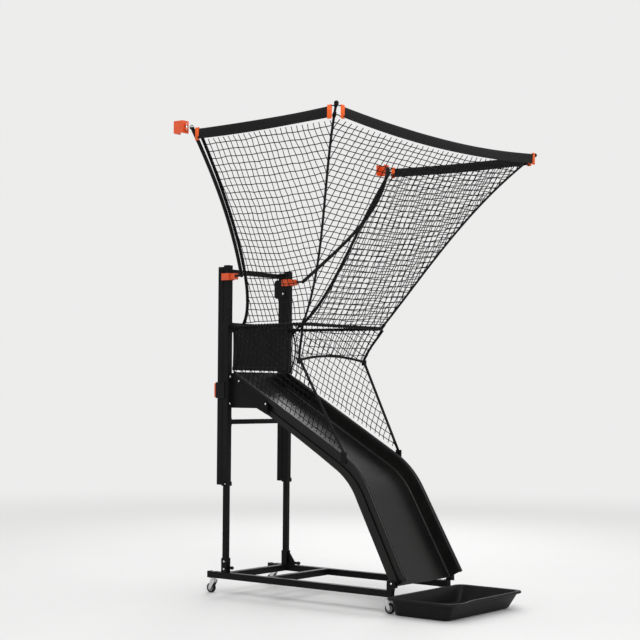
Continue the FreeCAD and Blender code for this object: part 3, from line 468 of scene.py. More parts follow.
def zinc(name, tone, smooth, matt):
    """Bright plated steel with brushed streaks and faint grey spangle."""
    nodes = Nodes(name)
    cell = nodes.add("ShaderNodeTexVoronoi", Vector=nodes.place, Scale=260.0).outputs["Distance"]
    streak = nodes.noise(3.0, 3.0, stretch=(30.0, 30.0, 900.0))
    dark = [0.72 * value for value in tone[:3]] + [1.0]
    colour = nodes.blend(nodes.spread(cell, 0.0, 1.0, 0.1, 0.6), tone, dark)
    rough = nodes.spread(streak, smooth, matt)
    return nodes.finish(colour, rough, nodes.bump(streak, 0.00004, 0.4), PLAIN_GLOSS, Metallic=1.0)


def wheel_rubber():
    """Dark cast tyre with a dusty tread and fine pitting."""
    nodes = Nodes("wheel_rubber")
    dust = nodes.noise(90.0, 5.0, 0.65)
    pits = nodes.noise(1200.0, 2.0)
    colour = nodes.drift(dust, grey(0.006, 0.006), rgba(0.022, 0.021, 0.020))
    return nodes.finish(colour, nodes.spread(dust, 0.55, 0.80), nodes.bump(pits, 0.00010, 0.6))


def wheel_hub():
    """Grey moulded hub with a faint turning mark."""
    nodes = Nodes("wheel_hub")
    cloud = nodes.noise(120.0, 3.0)
    colour = nodes.drift(cloud, grey(0.16, 0.165), grey(0.24, 0.245))
    return nodes.finish(colour, nodes.spread(cloud, 0.40, 0.55), nodes.bump(cloud, 0.0001, 0.4), PLAIN_GLOSS)


def fibreglass():
    """Pultruded black rod: long fibre streaks under a clear skin."""
    nodes = Nodes("pole_fibreglass")
    fibre = nodes.noise(1.0, 4.0, stretch=(900.0, 900.0, 14.0))
    colour = nodes.drift(fibre, grey(0.0040, 0.0043), grey(0.0110, 0.0113))
    return nodes.finish(colour, nodes.spread(fibre, 0.30, 0.46), nodes.bump(fibre, 0.00005, 0.5))


def twisted(name, dark, pale, lay, height):
    """Laid cord: strands that wind round it, drawn from its own length and girth, with fuzz."""
    nodes = Nodes(name)
    strands = nodes.wave(nodes.turned(nodes.surface(), 38), lay, 0.6, detail=1.0)
    fuzz = nodes.noise(1600.0, 3.0)
    shade = nodes.maths("MULTIPLY", strands, nodes.spread(fuzz, 0.6, 1.0))
    rough = nodes.spread(fuzz, 0.60, 0.85)
    return nodes.finish(nodes.blend(shade, dark, pale), rough, nodes.bump(strands, height, 0.8))


def net_cord():
    dark, pale = grey(0.0030, 0.0032), grey(0.0095, 0.0100)
    return twisted("net_cord_black", dark, pale, 90.0, 0.00025)


def edge_rope():
    dark, pale = grey(0.0030, 0.0032), grey(0.0100, 0.0105)
    return twisted("edge_rope_black", dark, pale, 45.0, 0.00060)


def webbing(name, dark, pale, stitch):
    """Woven webbing: ribs along the band, picks across it and two rows of stitching near its edges."""
    nodes = Nodes(name)
    surface = nodes.surface()
    split = nodes.add("ShaderNodeSeparateXYZ", Vector=surface)
    across, along = split.outputs["X"], split.outputs["Y"]
    ribs = nodes.wave(surface, 130.0)
    picks = nodes.wave(nodes.turned(surface, 62), 210.0, 0.4)
    weave = nodes.maths("MULTIPLY", ribs, nodes.spread(picks, 0.35, 1.0, 0.0, 1.0))
    fuzz = nodes.noise(700.0, 4.0, 0.7)
    cloud = nodes.noise(18.0, 3.0)
    base = nodes.blend(weave, dark, pale)
    base = nodes.blend(nodes.spread(cloud, 0.0, 0.35), base, pale)
    dash = nodes.maths("FRACT", nodes.maths("MULTIPLY", along, 230.0))
    thread = nodes.maths("LESS_THAN", dash, 0.72)
    near_edge = nodes.maths("PINGPONG", nodes.maths("SUBTRACT", across, 0.0045), STRAP_WIDTH - 0.009)
    row = nodes.maths("LESS_THAN", near_edge, 0.0009)
    seam = nodes.maths("MULTIPLY", row, thread)
    colour = nodes.blend(seam, base, stitch)
    height = nodes.maths("ADD", weave, nodes.maths("MULTIPLY", seam, 1.5))
    height = nodes.maths("ADD", height, nodes.maths("MULTIPLY", fuzz, 0.5))
    return nodes.finish(colour, nodes.spread(fuzz, 0.62, 0.85), nodes.bump(height, 0.00030, 0.8),
                        Sheen_Weight=0.06, Sheen_Roughness=0.5)


def black_webbing():
    dark, pale = grey(0.0035, 0.0038), grey(0.0095, 0.0102)
    return webbing("webbing_black", dark, pale, grey(0.020, 0.021))


def orange_webbing():
    dark, pale = rgba(0.60, 0.070, 0.012), rgba(0.90, 0.165, 0.035)
    return webbing("webbing_orange", dark, pale, rgba(0.95, 0.28, 0.09))


def panel_fabric():
    """Coated oxford cloth: a plain weave, broad soft paler patches painted in its tone as light on creases,
    and a dull sheen.
    """
    nodes = Nodes("panel_oxford")
    warp = nodes.wave(nodes.place, 320.0, 0.5, "X")
    weft = nodes.wave(nodes.place, 320.0, 0.5, "Z")
    weave = nodes.maths("MULTIPLY", warp, weft)
    cloud = nodes.noise(6.0, 5.0)
    base = nodes.blend(weave, grey(0.0050, 0.0054), grey(0.0065, 0.0070))
    # Broad noise blends the weave toward a paler grey: painted light standing for creases.
    colour = nodes.blend(nodes.spread(cloud, 0.0, 0.5), base, grey(0.010, 0.011))
    return nodes.finish(colour, nodes.spread(cloud, 0.58, 0.75), nodes.bump(weave, 0.00006, 0.35),
                        Sheen_Weight=0.04)


def stage_floor():
    """Pale studio floor that turns into the backdrop's even tone far from the machine."""
    nodes = Nodes("studio_floor")
    cloud = nodes.noise(1.2, 3.0)
    colour = nodes.drift(cloud, grey(0.660, 0.660), grey(0.672, 0.670))
    nodes.finish(colour, 0.75, gloss=0.15)
    glow = nodes.add("ShaderNodeEmission", Color=BACKDROP, Strength=1.0)
    length = nodes.add("ShaderNodeVectorMath", {"operation": "LENGTH"}, Vector=nodes.place).outputs["Value"]
    mix = nodes.add("ShaderNodeMixShader", Fac=nodes.spread(length, 0.0, 1.0, 2.2, 9.0, "SMOOTHSTEP"))
    nodes.join(nodes.shader.outputs["BSDF"], mix.inputs[1])
    nodes.join(glow.outputs["Emission"], mix.inputs[2])
    output = nodes.tree.nodes["Material Output"]
    nodes.join(mix.outputs["Shader"], output.inputs["Surface"])
    return nodes.material


# ---- nets

CORD_RADIUS = 0.0021
KNOT_RADIUS = 0.0034
# Each net's cell: how far apart its cords stand, along the net's own two ways.
SIDE_CELL = Vector((0.034, 0.031))
FRONT_CELL = Vector((0.045, 0.034))
SKIRT_CELL = Vector((0.0325, 0.0365))
ARCH_CELL = Vector((0.038, 0.036))


def crossings(outline, normal, along, level):
    """Where the line at a level meets an outline, in order along it, as pairs of entry and exit."""
    found = []
    for first, second in zip(outline, outline[1:] + outline[:1]):
        a = first.dot(normal) - level
        b = second.dot(normal) - level
        if (a < 0) != (b < 0):
            found.append((first + (second - first) * (a / (a - b))).dot(along))
    found.sort()
    return list(zip(found[::2], found[1::2]))


def net_lines(outline):
    """The cords of a net of unit cells inside a flat outline, as lists of (point, crossing or None)."""
    first_way = Vector((1, 0))
    second_way = Vector((0, 1))
    cords = []
    for family, (along, normal) in enumerate(((first_way, second_way), (second_way, first_way))):
        levels = [point.dot(normal) for point in outline]
        for step in range(math.ceil(min(levels)), math.floor(max(levels)) + 1):
            level = step + 1e-6
            for enter, leave in crossings(outline, normal, along, level):
                cord = [(along * enter + normal * level, None)]
                for other in range(math.ceil(enter), math.floor(leave) + 1):
                    key = (other, step) if family == 0 else (step, other)
                    cord.append((along * other + normal * level, key))
                cord.append((along * leave + normal * level, None))
                cords.append(cord)
    return cords


def unevenness(point):
    """Slow waves that every net shares, so that neighbouring nets still meet at their seams."""
    slow = noise.noise_vector(point * 3.1)
    quick = noise.noise_vector(point * 9.0 + Vector((7.0, 3.0, 5.0)))
    return slow * 0.0065 + quick * 0.0035


def net_shell(outline, surface, slack=1.0, seed=1):
    """Knotted net over a surface that maps flat points, counted in cells, to places in the frame."""
    shell = Shell()
    shifts = {}
    rng = random.Random(seed)
    for cord in net_lines(outline):
        line = []
        for flat, key in cord:
            place = surface(flat)
            if key is not None:
                if key not in shifts:
                    shifts[key] = Vector([rng.gauss(0, 0.0012) for _ in range(3)])
                    add_knot(shell, place + unevenness(place) * slack + shifts[key], rng)
                place = place + unevenness(place) * slack + shifts[key]
            if not line or (place - line[-1]).length > CORD_RADIUS:
                line.append(place)
        if len(line) > 1:
            shell.tube(line, CORD_RADIUS, capped=False)
    return shell


def add_knot(shell, place, rng):
    """A small lumpy knot: a squashed eight-faced bead with its middle ring."""
    turn = rng.uniform(0, math.pi)
    ways = [Vector((math.cos(turn + step * math.pi / 3), 0.35, math.sin(turn + step * math.pi / 3)))
            for step in range(6)]
    ring = [place + way.normalized() * KNOT_RADIUS * rng.uniform(0.85, 1.15) for way in ways]
    poles = [place + Vector((0, sign * KNOT_RADIUS * 0.9, 0)) for sign in (-1, 1)]
    points = ring + poles
    faces = []
    for index in range(6):
        following = (index + 1) % 6
        faces.append((index, following, 6))
        faces.append((following, index, 7))
    shell.add(points, faces, [((0, 0), (0.002, 0), (0.001, 0.002))] * len(faces))


def strap_drop(x):
    """How far the front strap hangs below its right end at a place along it."""
    share = max(-1.0, min(1.0, x / STRAP_HIGH.x))
    return STRAP_SAG * (1 - share ** 2) + LEFT_DROP * (1 - share) / 2


def front_net():
    """The front net, between the two front poles, from the strap down to the hoop's front bar."""
    seam = front_line(1)
    top_share = seam.share_where(2, STRAP_HIGH.z - STRAP_WIDTH + 0.006)
    steps = 24
    edge_points = [seam.point(top_share * step / steps) for step in range(steps + 1)]
    reach = distances(edge_points)

    def surface(cell):
        x = cell.x * FRONT_CELL.x
        rise = clamp(cell.y * FRONT_CELL.y / reach[-1])
        edge = seam.point(seam.share_at(rise * reach[-1]))
        across = min(1.0, abs(x) / max(edge.x, 0.01))
        belly = 0.028 * (1 - across ** 2) * math.sin(math.pi * rise)
        return Vector((x, edge.y - belly * 0.8, edge.z - strap_drop(x) * rise ** 3 - belly * 0.6))

    right = [Vector((point.x / FRONT_CELL.x, length / FRONT_CELL.y))
             for point, length in zip(edge_points, reach)]
    left = [Vector((-point.x, point.y)) for point in reversed(right)]
    return net_shell(right + left, surface, seed=3)


def side_net(side):
    """A side net, between its back edge rope and its front pole, from the strap to the hoop."""
    front = front_line(side)
    back = seam_line(side)
    bottom = HOOP_Z + HOOP_RADIUS + 0.012
    top = SIDE_STRAP_HIGH.z - STRAP_WIDTH - 0.002 - (LEFT_DROP if side < 0 else 0)

    def ends(z):
        return (back.point(back.share_where(2, z)), front.point(front.share_where(2, z)))

    def surface(cell):
        z = max(bottom, min(top, cell.y * SIDE_CELL.y))
        rear, fore = ends(z)
        share = clamp((cell.x * SIDE_CELL.x - rear.y) / (fore.y - rear.y))
        belly = math.sin(math.pi * share) * math.sin(math.pi * (z - bottom) / (top - bottom))
        return rear.lerp(fore, share) + Vector((side * 0.016 * belly, 0, -0.020 * belly))

    steps = 20
    levels = [bottom + (top - bottom) * step / steps for step in range(steps + 1)]
    rear_edge = [Vector((ends(z)[0].y / SIDE_CELL.x, z / SIDE_CELL.y)) for z in levels]
    fore_edge = [Vector((ends(z)[1].y / SIDE_CELL.x, z / SIDE_CELL.y)) for z in reversed(levels)]
    return net_shell(rear_edge + fore_edge, surface, seed=11 + side)


# ---- chute path

CHUTE_SLOPE = math.radians(30)
CHUTE_END_SLOPE = math.radians(61)
CHUTE_RUN = 0.830
CHUTE_BEND = 0.450
CHUTE_DROP = 0.472
CHUTE_HALF = 0.235
CHUTE_SPREAD = CHUTE_HIGH.x - CHUTE_HALF
CHUTE_TOP = at(0, -0.026, 1.167)


def lip_at(distance):
    """The chute's lip at a distance from its top: place, forward way and the way down into it."""
    arc = CHUTE_BEND * (CHUTE_END_SLOPE - CHUTE_SLOPE)
    place = CHUTE_TOP.copy()
    run = min(distance, CHUTE_RUN)
    place += Vector((0, -math.cos(CHUTE_SLOPE), -math.sin(CHUTE_SLOPE))) * run
    slope = CHUTE_SLOPE
    if distance > CHUTE_RUN:
        slope += min(distance - CHUTE_RUN, arc) / CHUTE_BEND
        place.y -= CHUTE_BEND * (math.sin(slope) - math.sin(CHUTE_SLOPE))
        place.z -= CHUTE_BEND * (math.cos(CHUTE_SLOPE) - math.cos(slope))
    rest = distance - CHUTE_RUN - arc
    way = Vector((0, -math.cos(slope), -math.sin(slope)))
    if rest > 0:
        place += way * rest
    down = Vector((0, math.sin(slope), -math.cos(slope)))
    return place, way, down


CHUTE_LENGTH = CHUTE_RUN + CHUTE_BEND * (CHUTE_END_SLOPE - CHUTE_SLOPE) + CHUTE_DROP


def lip_height(y):
    """Height of the chute's lip over a place on its straight upper run."""
    return CHUTE_TOP.z + (y - CHUTE_TOP.y) * math.tan(CHUTE_SLOPE)


# ---- skirt

ARCH_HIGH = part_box("ball_arch")[1]
ARCH_SHOULDER = at(0.275, -0.504, 1.226)
ARCH_FOOT = at(0.237, -0.757, 0.762)
SKIRT_TOP = HOOP_Z - HOOP_RADIUS
SKIRT_BACK = UPRIGHT_Y - 0.030
SKIRT_LEAN = math.tan(math.radians(15.5))


def skirt_cell(y, z):
    """Where a place on a skirt's side lies in cells: its rows follow the chute, its columns lean back."""
    return Vector(((y + z * SKIRT_LEAN) / SKIRT_CELL.x, (z - lip_height(y)) / SKIRT_CELL.y))


def skirt_place(side, cell):
    """The place in the frame of a point on a skirt's side."""
    slope = math.tan(CHUTE_SLOPE)
    over_lip = lip_height(0) + SKIRT_CELL.y * cell.y
    y = (SKIRT_CELL.x * cell.x - SKIRT_LEAN * over_lip) / (1 + SKIRT_LEAN * slope)
    z = over_lip + slope * y
    share = clamp((z - lip_height(y)) / (SKIRT_TOP - lip_height(y)))
    forward = clamp((SKIRT_BACK - y) / (SKIRT_BACK - HOOP_FRONT))
    hoop_x = HALF_LEG + (HOOP_HALF - HALF_LEG) * forward
    return Vector((side * (CHUTE_HALF + (hoop_x - CHUTE_HALF) * share ** 2.2), y, z))


def skirt_edges():
    """The back and front edges of a skirt's side from the hoop down, as points in cells."""
    low = lip_height(SKIRT_BACK) + 0.004
    back = []
    front = []
    for share in shares(12):
        bow = 0.033 * 4 * share * (1 - share)
        back.append(skirt_cell(SKIRT_BACK - bow, SKIRT_TOP + (low - SKIRT_TOP) * share))
        bow = 0.006 * math.sin(math.pi * share ** 1.6)
        y = HOOP_FRONT + 0.006 + (ARCH_SHOULDER.y - HOOP_FRONT) * share
        front.append(skirt_cell(y + bow, SKIRT_TOP + (ARCH_SHOULDER.z - SKIRT_TOP) * share))
    return back, front


def skirt_side(side):
    """Net between the hoop's side, the arch's leg and the chute's lip."""
    back, front = skirt_edges()
    foot = skirt_cell(ARCH_FOOT.y + 0.006, ARCH_FOOT.z + 0.008)
    outline = back[::-1] + front + [foot]
    return net_shell(outline, lambda cell: skirt_place(side, cell), slack=0.6, seed=23 + side)


def skirt_ropes(side):
    """The ropes along a skirt's back and front edges."""
    back, front = skirt_edges()
    lines = [[skirt_place(side, cell) for cell in edge] for edge in (back, front)]
    lines[1].append(Vector((side * ARCH_SHOULDER.x, ARCH_SHOULDER.y, ARCH_SHOULDER.z)))
    return [wound_rope(lines[0], 0.0045, 0.018), wound_rope(lines[1], 0.0068, 0.024)]


def skirt_front():
    """Net between the hoop's front bar and the arch's crown."""
    arch_top = ARCH_HIGH.z - 0.006
    arch_y = ARCH_SHOULDER.y - 0.012

    def arch_line(x):
        return arch_top - 0.020 * (abs(x) / ARCH_SHOULDER.x) ** 2

    def surface(cell):
        x = cell.x * ARCH_CELL.x
        z = cell.y * ARCH_CELL.y
        share = clamp((z - arch_line(x)) / (SKIRT_TOP - arch_line(x)))
        return Vector((x * (1 + 0.20 * share), arch_y + (HOOP_FRONT - arch_y) * share, z))

    steps = 10
    half = ARCH_SHOULDER.x - 0.004
    lower = []
    for step in range(steps + 1):
        x = half * (2 * step / steps - 1)
        lower.append(Vector((x / ARCH_CELL.x, arch_line(x) / ARCH_CELL.y)))
    upper = [Vector((x / ARCH_CELL.x, SKIRT_TOP / ARCH_CELL.y)) for x in (half, -half)]
    return net_shell(lower + upper, surface, slack=0.8, seed=29)


# ---- ropes and lacing


def wound_rope(line, radius, pitch):
    """A laid rope: three strands that wind round a line."""
    strands = 3
    per_turn = 8
    shell = Shell()
    lengths = distances(line)
    steps = max(per_turn, int(lengths[-1] / pitch * per_turn))
    centres = []
    index = 0
    for step in range(steps + 1):
        distance = lengths[-1] * step / steps
        while index < len(line) - 2 and lengths[index + 1] < distance:
            index += 1
        share = (distance - lengths[index]) / max(lengths[index + 1] - lengths[index], 1e-9)
        centres.append(line[index].lerp(line[index + 1], share))
    for strand in range(strands):
        path = []
        for step, (centre, normal, side) in enumerate(frames(centres)):
            turn = 2 * math.pi * (step / per_turn + strand / strands)
            path.append(centre + turned_way(normal, side, turn) * radius * 0.5)
        shell.tube(path, radius * 0.56)
    return shell


def hoop_points():
    """The hoop's centre line, from the left sleeve round the front to the right one."""
    bend = 0.022
    corner = Vector((HOOP_HALF, HOOP_FRONT, HOOP_Z))
    start = Vector((HALF_LEG, HOOP_HIGH.y, HOOP_Z))
    way = (corner - start).normalized()
    inward = Vector((-1, 0, 0))
    turn = way.angle(inward)
    entry = corner - way * bend * math.tan(turn / 2)
    centre = corner + (inward - way).normalized() * bend / math.cos(turn / 2)
    steps = 8
    right = [start]
    for step in range(steps + 1):
        right.append(centre + Matrix.Rotation(-turn * step / steps, 3, "Z") @ (entry - centre))
    left = [Vector((-point.x, point.y, point.z)) for point in right]
    return left + right[::-1]


def hoop_lacing():
    """Cord wound round the hoop, one turn for each half cell of the net."""
    line = hoop_points()
    shell = Shell()
    winding = []
    lacing = 0.0017
    pitch = FRONT_CELL.x / 2
    bracket = 0.030
    distance = 0.0
    length = distances(line)[-1]
    for first, second in zip(line, line[1:]):
        run = second - first
        steps = max(1, int(run.length / 0.0030))
        side = run.normalized().cross(UP)
        for step in range(steps):
            turn = 2 * math.pi * distance / pitch
            offset = turned_way(UP, side, turn) * (HOOP_RADIUS + lacing * 0.9)
            if bracket < distance < length - bracket:
                winding.append(first + run * (step / steps) + offset)
            distance += run.length / steps
    shell.tube(winding, lacing)
    return shell


# ---- straps and tabs


def band(centres, ups, width, thickness):
    """A flat band with rounded edges: centres along it, and the way its width runs at each."""
    shell = Shell()
    rows = []
    flats = 3
    half_t = thickness / 2
    half_w = width / 2 - half_t
    for index, centre in enumerate(centres):
        before = centres[max(index - 1, 0)]
        after = centres[min(index + 1, len(centres) - 1)]
        way = (after - before).normalized()
        up = ups[index]
        up = (up - way * up.dot(way)).normalized()
        face = way.cross(up)
        ring = []
        for sign in (1, -1):
            for step in range(flats + 1):
                ring.append((sign * half_t, half_w * sign * (2 * step / flats - 1)))
            ring.append((0.0, sign * (half_w + half_t)))
        rows.append([centre + face * a + up * b for a, b in ring])
    shell.solid(rows)
    return shell


def side_strap_ends(side):
    """Middles of a side strap's ends, at the back corner and at the front tip."""
    top = SIDE_STRAP_HIGH.z - (LEFT_DROP if side < 0 else 0)
    return (Vector((side * (SIDE_STRAP_LOW.x + 0.002), SIDE_STRAP_HIGH.y, top - 0.031)),
            Vector((side * (SIDE_STRAP_HIGH.x - 0.002), SIDE_STRAP_LOW.y, top - 0.025)))


def side_strap(side):
    """Webbing along a side net's top edge, with a slight sag and a soft roll."""
    start, end = side_strap_ends(side)
    centres = []
    ups = []
    for share in shares(40):
        sag = 0.007 * 4 * share * (1 - share)
        centres.append(start.lerp(end, share) - UP * sag)
        roll = 0.10 * math.sin(2.4 * math.pi * share + side)
        ups.append(Vector((side * roll, 0, 1)))
    return band(centres, ups, STRAP_WIDTH, STRAP_THICKNESS)


def front_strap():
    """Webbing along the front net's top edge, hanging in a shallow curve between the tips."""
    y = (STRAP_LOW.y + STRAP_HIGH.y) / 2
    top = STRAP_HIGH.z - STRAP_WIDTH / 2
    centres = []
    ups = []
    steps = 64
    for step in range(steps + 1):
        x = STRAP_LOW.x + (STRAP_HIGH.x - STRAP_LOW.x) * step / steps
        centres.append(Vector((x, y, top - strap_drop(x))))
        ups.append(Vector((0, 0.10 * math.sin(x * 5.0), 1)))
    return band(centres, ups, STRAP_WIDTH, STRAP_THICKNESS)


# ---- chute and tray

WALL_X = CHUTE_HALF - 0.019


def chute_profile():
    """Half of the chute's section from its middle out: (x, depth below the lip)."""
    floor = 0.0735
    foot = 0.014
    lip = 0.006
    points = [(0.0, floor), (0.055, floor), (0.110, floor), (0.165, floor), (WALL_X - foot - 0.012, floor)]
    for step in range(5):
        turn = math.pi / 2 * step / 4
        points.append((WALL_X - foot + foot * math.sin(turn) - 0.004, floor - foot + foot * math.cos(turn)))
    points.append((WALL_X, 0.030))
    points.append((WALL_X + 0.001, lip))
    for step in range(1, 7):
        turn = math.pi * step / 6
        points.append((WALL_X + 0.001 + 0.0065 * (1 - math.cos(turn)), lip - 0.0055 * math.sin(turn)))
    points.append((WALL_X + 0.0145, lip + 0.012))
    return points


def chute_flare(z):
    """How much wider than at its top the chute is at a height, as a factor."""
    bend_z = lip_at(CHUTE_RUN)[0].z
    share = max(0.0, bend_z - z) / (bend_z - CHUTE_LOW.z)
    return 1 + CHUTE_SPREAD / CHUTE_HALF * share


def wall_depth(distance):
    """How far below the lip the walls reach: deeper than the floor from the bend to the outlet."""
    start = CHUTE_RUN * 0.6
    share = clamp((distance - start) / (CHUTE_LENGTH - CHUTE_DROP - start))
    return 0.080 + 0.015 * share ** 1.5


def chute_shell():
    """The moulded channel: floor, walls and rolled lips swept along the path, and the closed top end."""
    half = chute_profile()
    section = [(-x, depth) for x, depth in reversed(half[1:])] + half
    shell = Shell()
    rows = []
    skirts = {-1: [], 1: []}
    steps = 72
    for step in range(steps + 1):
        distance = CHUTE_LENGTH * step / steps
        place, way, down = lip_at(distance)
        if step == 0:
            down = Vector((0, 0, -1 / math.cos(CHUTE_SLOPE)))
        row = [place + down * depth for _, depth in section]
        for point, (x, _) in zip(row, section):
            point.x = x * chute_flare(point.z)
        rows.append(row)
        for side, strip in skirts.items():
            deep = [place + down * depth for depth in (0.052, 0.066, 0.080, wall_depth(distance) + 0.001)]
            for point in deep:
                point.x = side * (WALL_X - 0.0008) * chute_flare(point.z)
            strip.append(deep[::side])
    shell.grid(rows)
    closed = [point for point, (x, _) in zip(rows[0], section) if abs(x) <= CHUTE_HALF - 0.017]
    shell.lid(closed)
    for strip in skirts.values():
        shell.grid(strip)
    return shell


def build_chute(material):
    obj = chute_shell().build("chute_channel", material)
    add_modifier(obj, "WELD", merge_threshold=0.0004)
    add_modifier(obj, "SOLIDIFY", thickness=0.0050, offset=-1.0)
    add_modifier(obj, "BEVEL", width=0.0014, segments=2, limit_method="ANGLE", angle_limit=math.radians(50))
    return piece(obj, "base", "chute_plastic", "ball_chute")


def rounded_ring(half, front, back, radius, z):
    """A level rounded rectangle, counter-clockwise from above, with edge points between its corners."""
    steps = 8
    ring = []
    corners = ((half - radius, front + radius, -90), (half - radius, back - radius, 0),
               (-half + radius, back - radius, 90), (-half + radius, front + radius, 180))
    for index, (x, y, start) in enumerate(corners):
        for step in range(steps + 1):
            turn = math.radians(start + 90 * step / steps)
            ring.append(Vector((x + radius * math.cos(turn), y + radius * math.sin(turn), z)))
        after = corners[(index + 1) % 4]
        turn = math.radians(start + 90)
        first = ring[-1]
        last = Vector((after[0] + radius * math.cos(turn), after[1] + radius * math.sin(turn), z))
        for step in range(1, 12):
            ring.append(first.lerp(last, step / 12))
    return ring


def build_tray(material):
    """The flared tray: outer skin, rolled rim with a worn dip, inner skin and floor."""
    front, back, half, top = TRAY_LOW.y, TRAY_HIGH.y, TRAY_HIGH.x, TRAY_HIGH.z
    # How far in from the rim, height and corner radius; the front leans most and the back hardly at all.
    stages = [
        (0.062, 0.000, 0.030), (0.056, 0.0015, 0.034), (0.048, 0.008, 0.036), (0.018, top - 0.016, 0.040),
        (0.016, top - 0.011, 0.042), (0.004, top - 0.013, 0.044), (0.000, top - 0.011, 0.046),
        (0.000, top - 0.004, 0.046), (0.003, top - 0.0005, 0.045), (0.009, top, 0.042),
        (0.015, top - 0.001, 0.040), (0.020, top - 0.006, 0.038), (0.053, 0.014, 0.036),
        (0.058, 0.0065, 0.034), (0.068, 0.0045, 0.030),
    ]
    shell = Shell()
    rows = []
    for inset, z, radius in stages:
        lean = max(0.0, inset - 0.018)
        ring = rounded_ring(half - inset, front + inset + 0.12 * lean, back - inset + 0.80 * lean,
                            max(radius - 0.2 * inset, 0.02), z)
        for point in ring:
            if z > top - 0.022 and point.y < front + 0.06:
                dip = math.exp(-((point.x + half - 0.125) / 0.045) ** 2)
                point.z -= 0.006 * dip
            sweep = noise.noise(point * 6.0)
            point.x += 0.0012 * sweep * (z / top)
        rows.append(ring)
    shell.solid(rows)
    obj = shell.build("tray_shell", material)
    add_modifier(obj, "WELD", merge_threshold=0.0002)
    smooth_by_angle(obj, 60)
    return piece(obj, "tray", "tray_plastic", "ball_tray")


# ---- panel


def build_panel(material, hem_material):
    """The cloth between the sleeves: turned hems, soft creases and a slack belly."""
    low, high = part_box("back_panel")
    width, height, middle_y = high.x - low.x, high.z - low.z, (low.y + high.y) / 2
    rows = []
    for v in shares(40):
        row = []
        for u in shares(44):
            slack = math.sin(math.pi * u) * math.sin(math.pi * v)
            pull = 0.004 * math.sin(math.pi * v) * (1 if u < 0.5 else -1) * (2 * abs(u - 0.5)) ** 3
            place = Vector((low.x + width * u + pull, middle_y, low.z + height * v))
            crease = noise.noise(Vector((place.x * 5.0, 0.3, place.z * 2.4)))
            ripple = noise.noise(Vector((place.x * 16.0 + place.z * 5.0, 1.7, place.z * 7.0)))
            place.y += 0.0055 * slack * (1 + crease) + 0.0018 * ripple * slack
            row.append(place)
        rows.append(row)
    shell = Shell()
    shell.grid(rows)
    cloth = shell.build("panel_cloth", material)
    add_modifier(cloth, "SOLIDIFY", thickness=0.0012, offset=0.0)
    soft_piece(cloth, "panel_fabric", low.z + 0.01, high.z - 0.02, "back_panel")
    strips = []
    for z, size in ((high.z - 0.012, 0.024), (low.z + 0.010, 0.020)):
        line = [Vector((low.x + width * step / 24, middle_y, z)) for step in range(25)]
        strips.append(band(line, [UP] * len(line), size, 0.0052))
    hems = join_shells(strips).build("panel_hems", hem_material)
    soft_piece(hems, "strap_webbing", low.z + 0.03, high.z - 0.03)


# ---- wheels


def wheel_profile(radius, width):
    """A wheel's section as (distance from the axle, place along it), from one bore edge to the other."""
    half = width / 2
    outer = [
        (0.0041, half), (0.0085, half), (0.0095, half - 0.0012), (0.0105, half - 0.0038),
        (radius * 0.66, half - 0.0038), (radius * 0.70, half - 0.0010), (radius * 0.74, half),
        (radius * 0.90, half), (radius * 0.965, half * 0.80), (radius * 0.995, half * 0.45),
    ]
    return [(out, -along) for out, along in outer] + [(radius, 0.0)] + outer[::-1]


def build_wheel(tag, tyre, hub):
    """A caster wheel turned about its axle, with a recessed hub and a rounded tread."""
    low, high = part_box("caster_wheel_" + tag)
    centre = (low + high) / 2
    radius = (high.z - low.z) / 2
    profile = wheel_profile(radius, high.x - low.x)
    rows = []
    turns = 48
    for step in range(turns):
        turn = 2 * math.pi * step / turns
        rows.append([centre + Vector((along, out * math.cos(turn), out * math.sin(turn)))
                     for out, along in profile])
    shell = Shell()
    shell.grid(rows + rows[:1])
    obj = shell.build("wheel_" + tag, tyre)
    obj.data.materials.append(hub)
    for face in obj.data.polygons:
        offset = face.center - centre
        face.material_index = 1 if math.hypot(offset.y, offset.z) < radius * 0.70 else 0
    add_modifier(obj, "WELD", merge_threshold=0.00005)
    smooth_by_angle(obj, 40)
    return piece(obj, "wheel_" + tag, "wheel_rubber", "caster_wheel_" + tag)


# ---- strap tabs and tip cords


def build_tabs(material, cord_material):
    """Orange webbing tabs folded round the strap ends, and the cords that gather them to the poles."""
    cord_radius = 0.0026
    tabs = Shell()
    cords = Shell()
    for _, side in SIDES:
        tip = front_line(side).point(1)
        tip_way = front_line(side).way(1)
        strap_end, side_end = side_strap_ends(side)
        front_end = Vector((side * STRAP_HIGH.x, (STRAP_LOW.y + STRAP_HIGH.y) / 2, side_end.z))
        for end, back in ((side_end, Vector((0, 1, 0))), (front_end, Vector((-side, 0, 0)))):
            add_tab(tabs, end - back * 0.004, back)
            for sign, knot in ((1, tip + tip_way * 0.002), (-1, tip - tip_way * 0.060)):
                corner = end - back * 0.004 + UP * (sign * 0.029)
                bow = (corner + knot) / 2 - UP * (sign * 0.006)
                line = [corner, corner.lerp(bow, 0.6), bow, bow.lerp(knot, 0.5), knot]
                cords.tube(line, cord_radius, sides=8)
        for share in (0.9985, 0.955):
            add_whipping(cords, front_line(side), share, 0.0075)
        corner = back_line(side).point(1)
        add_tab(tabs, strap_end + Vector((0, 0.004, 0)), Vector((0, -1, 0)))
        for sign in (1, -1):
            start = strap_end + Vector((0, 0.006, sign * 0.026))
            halfway = start.lerp(corner, 0.5) - UP * (sign * 0.004)
            cords.tube([start, halfway, corner], cord_radius, sides=8)
        add_whipping(cords, back_line(side), 0.985, 0.0078)
    piece(tabs.build("strap_tab_loops", material), "mast", "orange_webbing", "strap_tabs")
    piece(cords.build("tip_cords", cord_material), "mast", "net_cord")


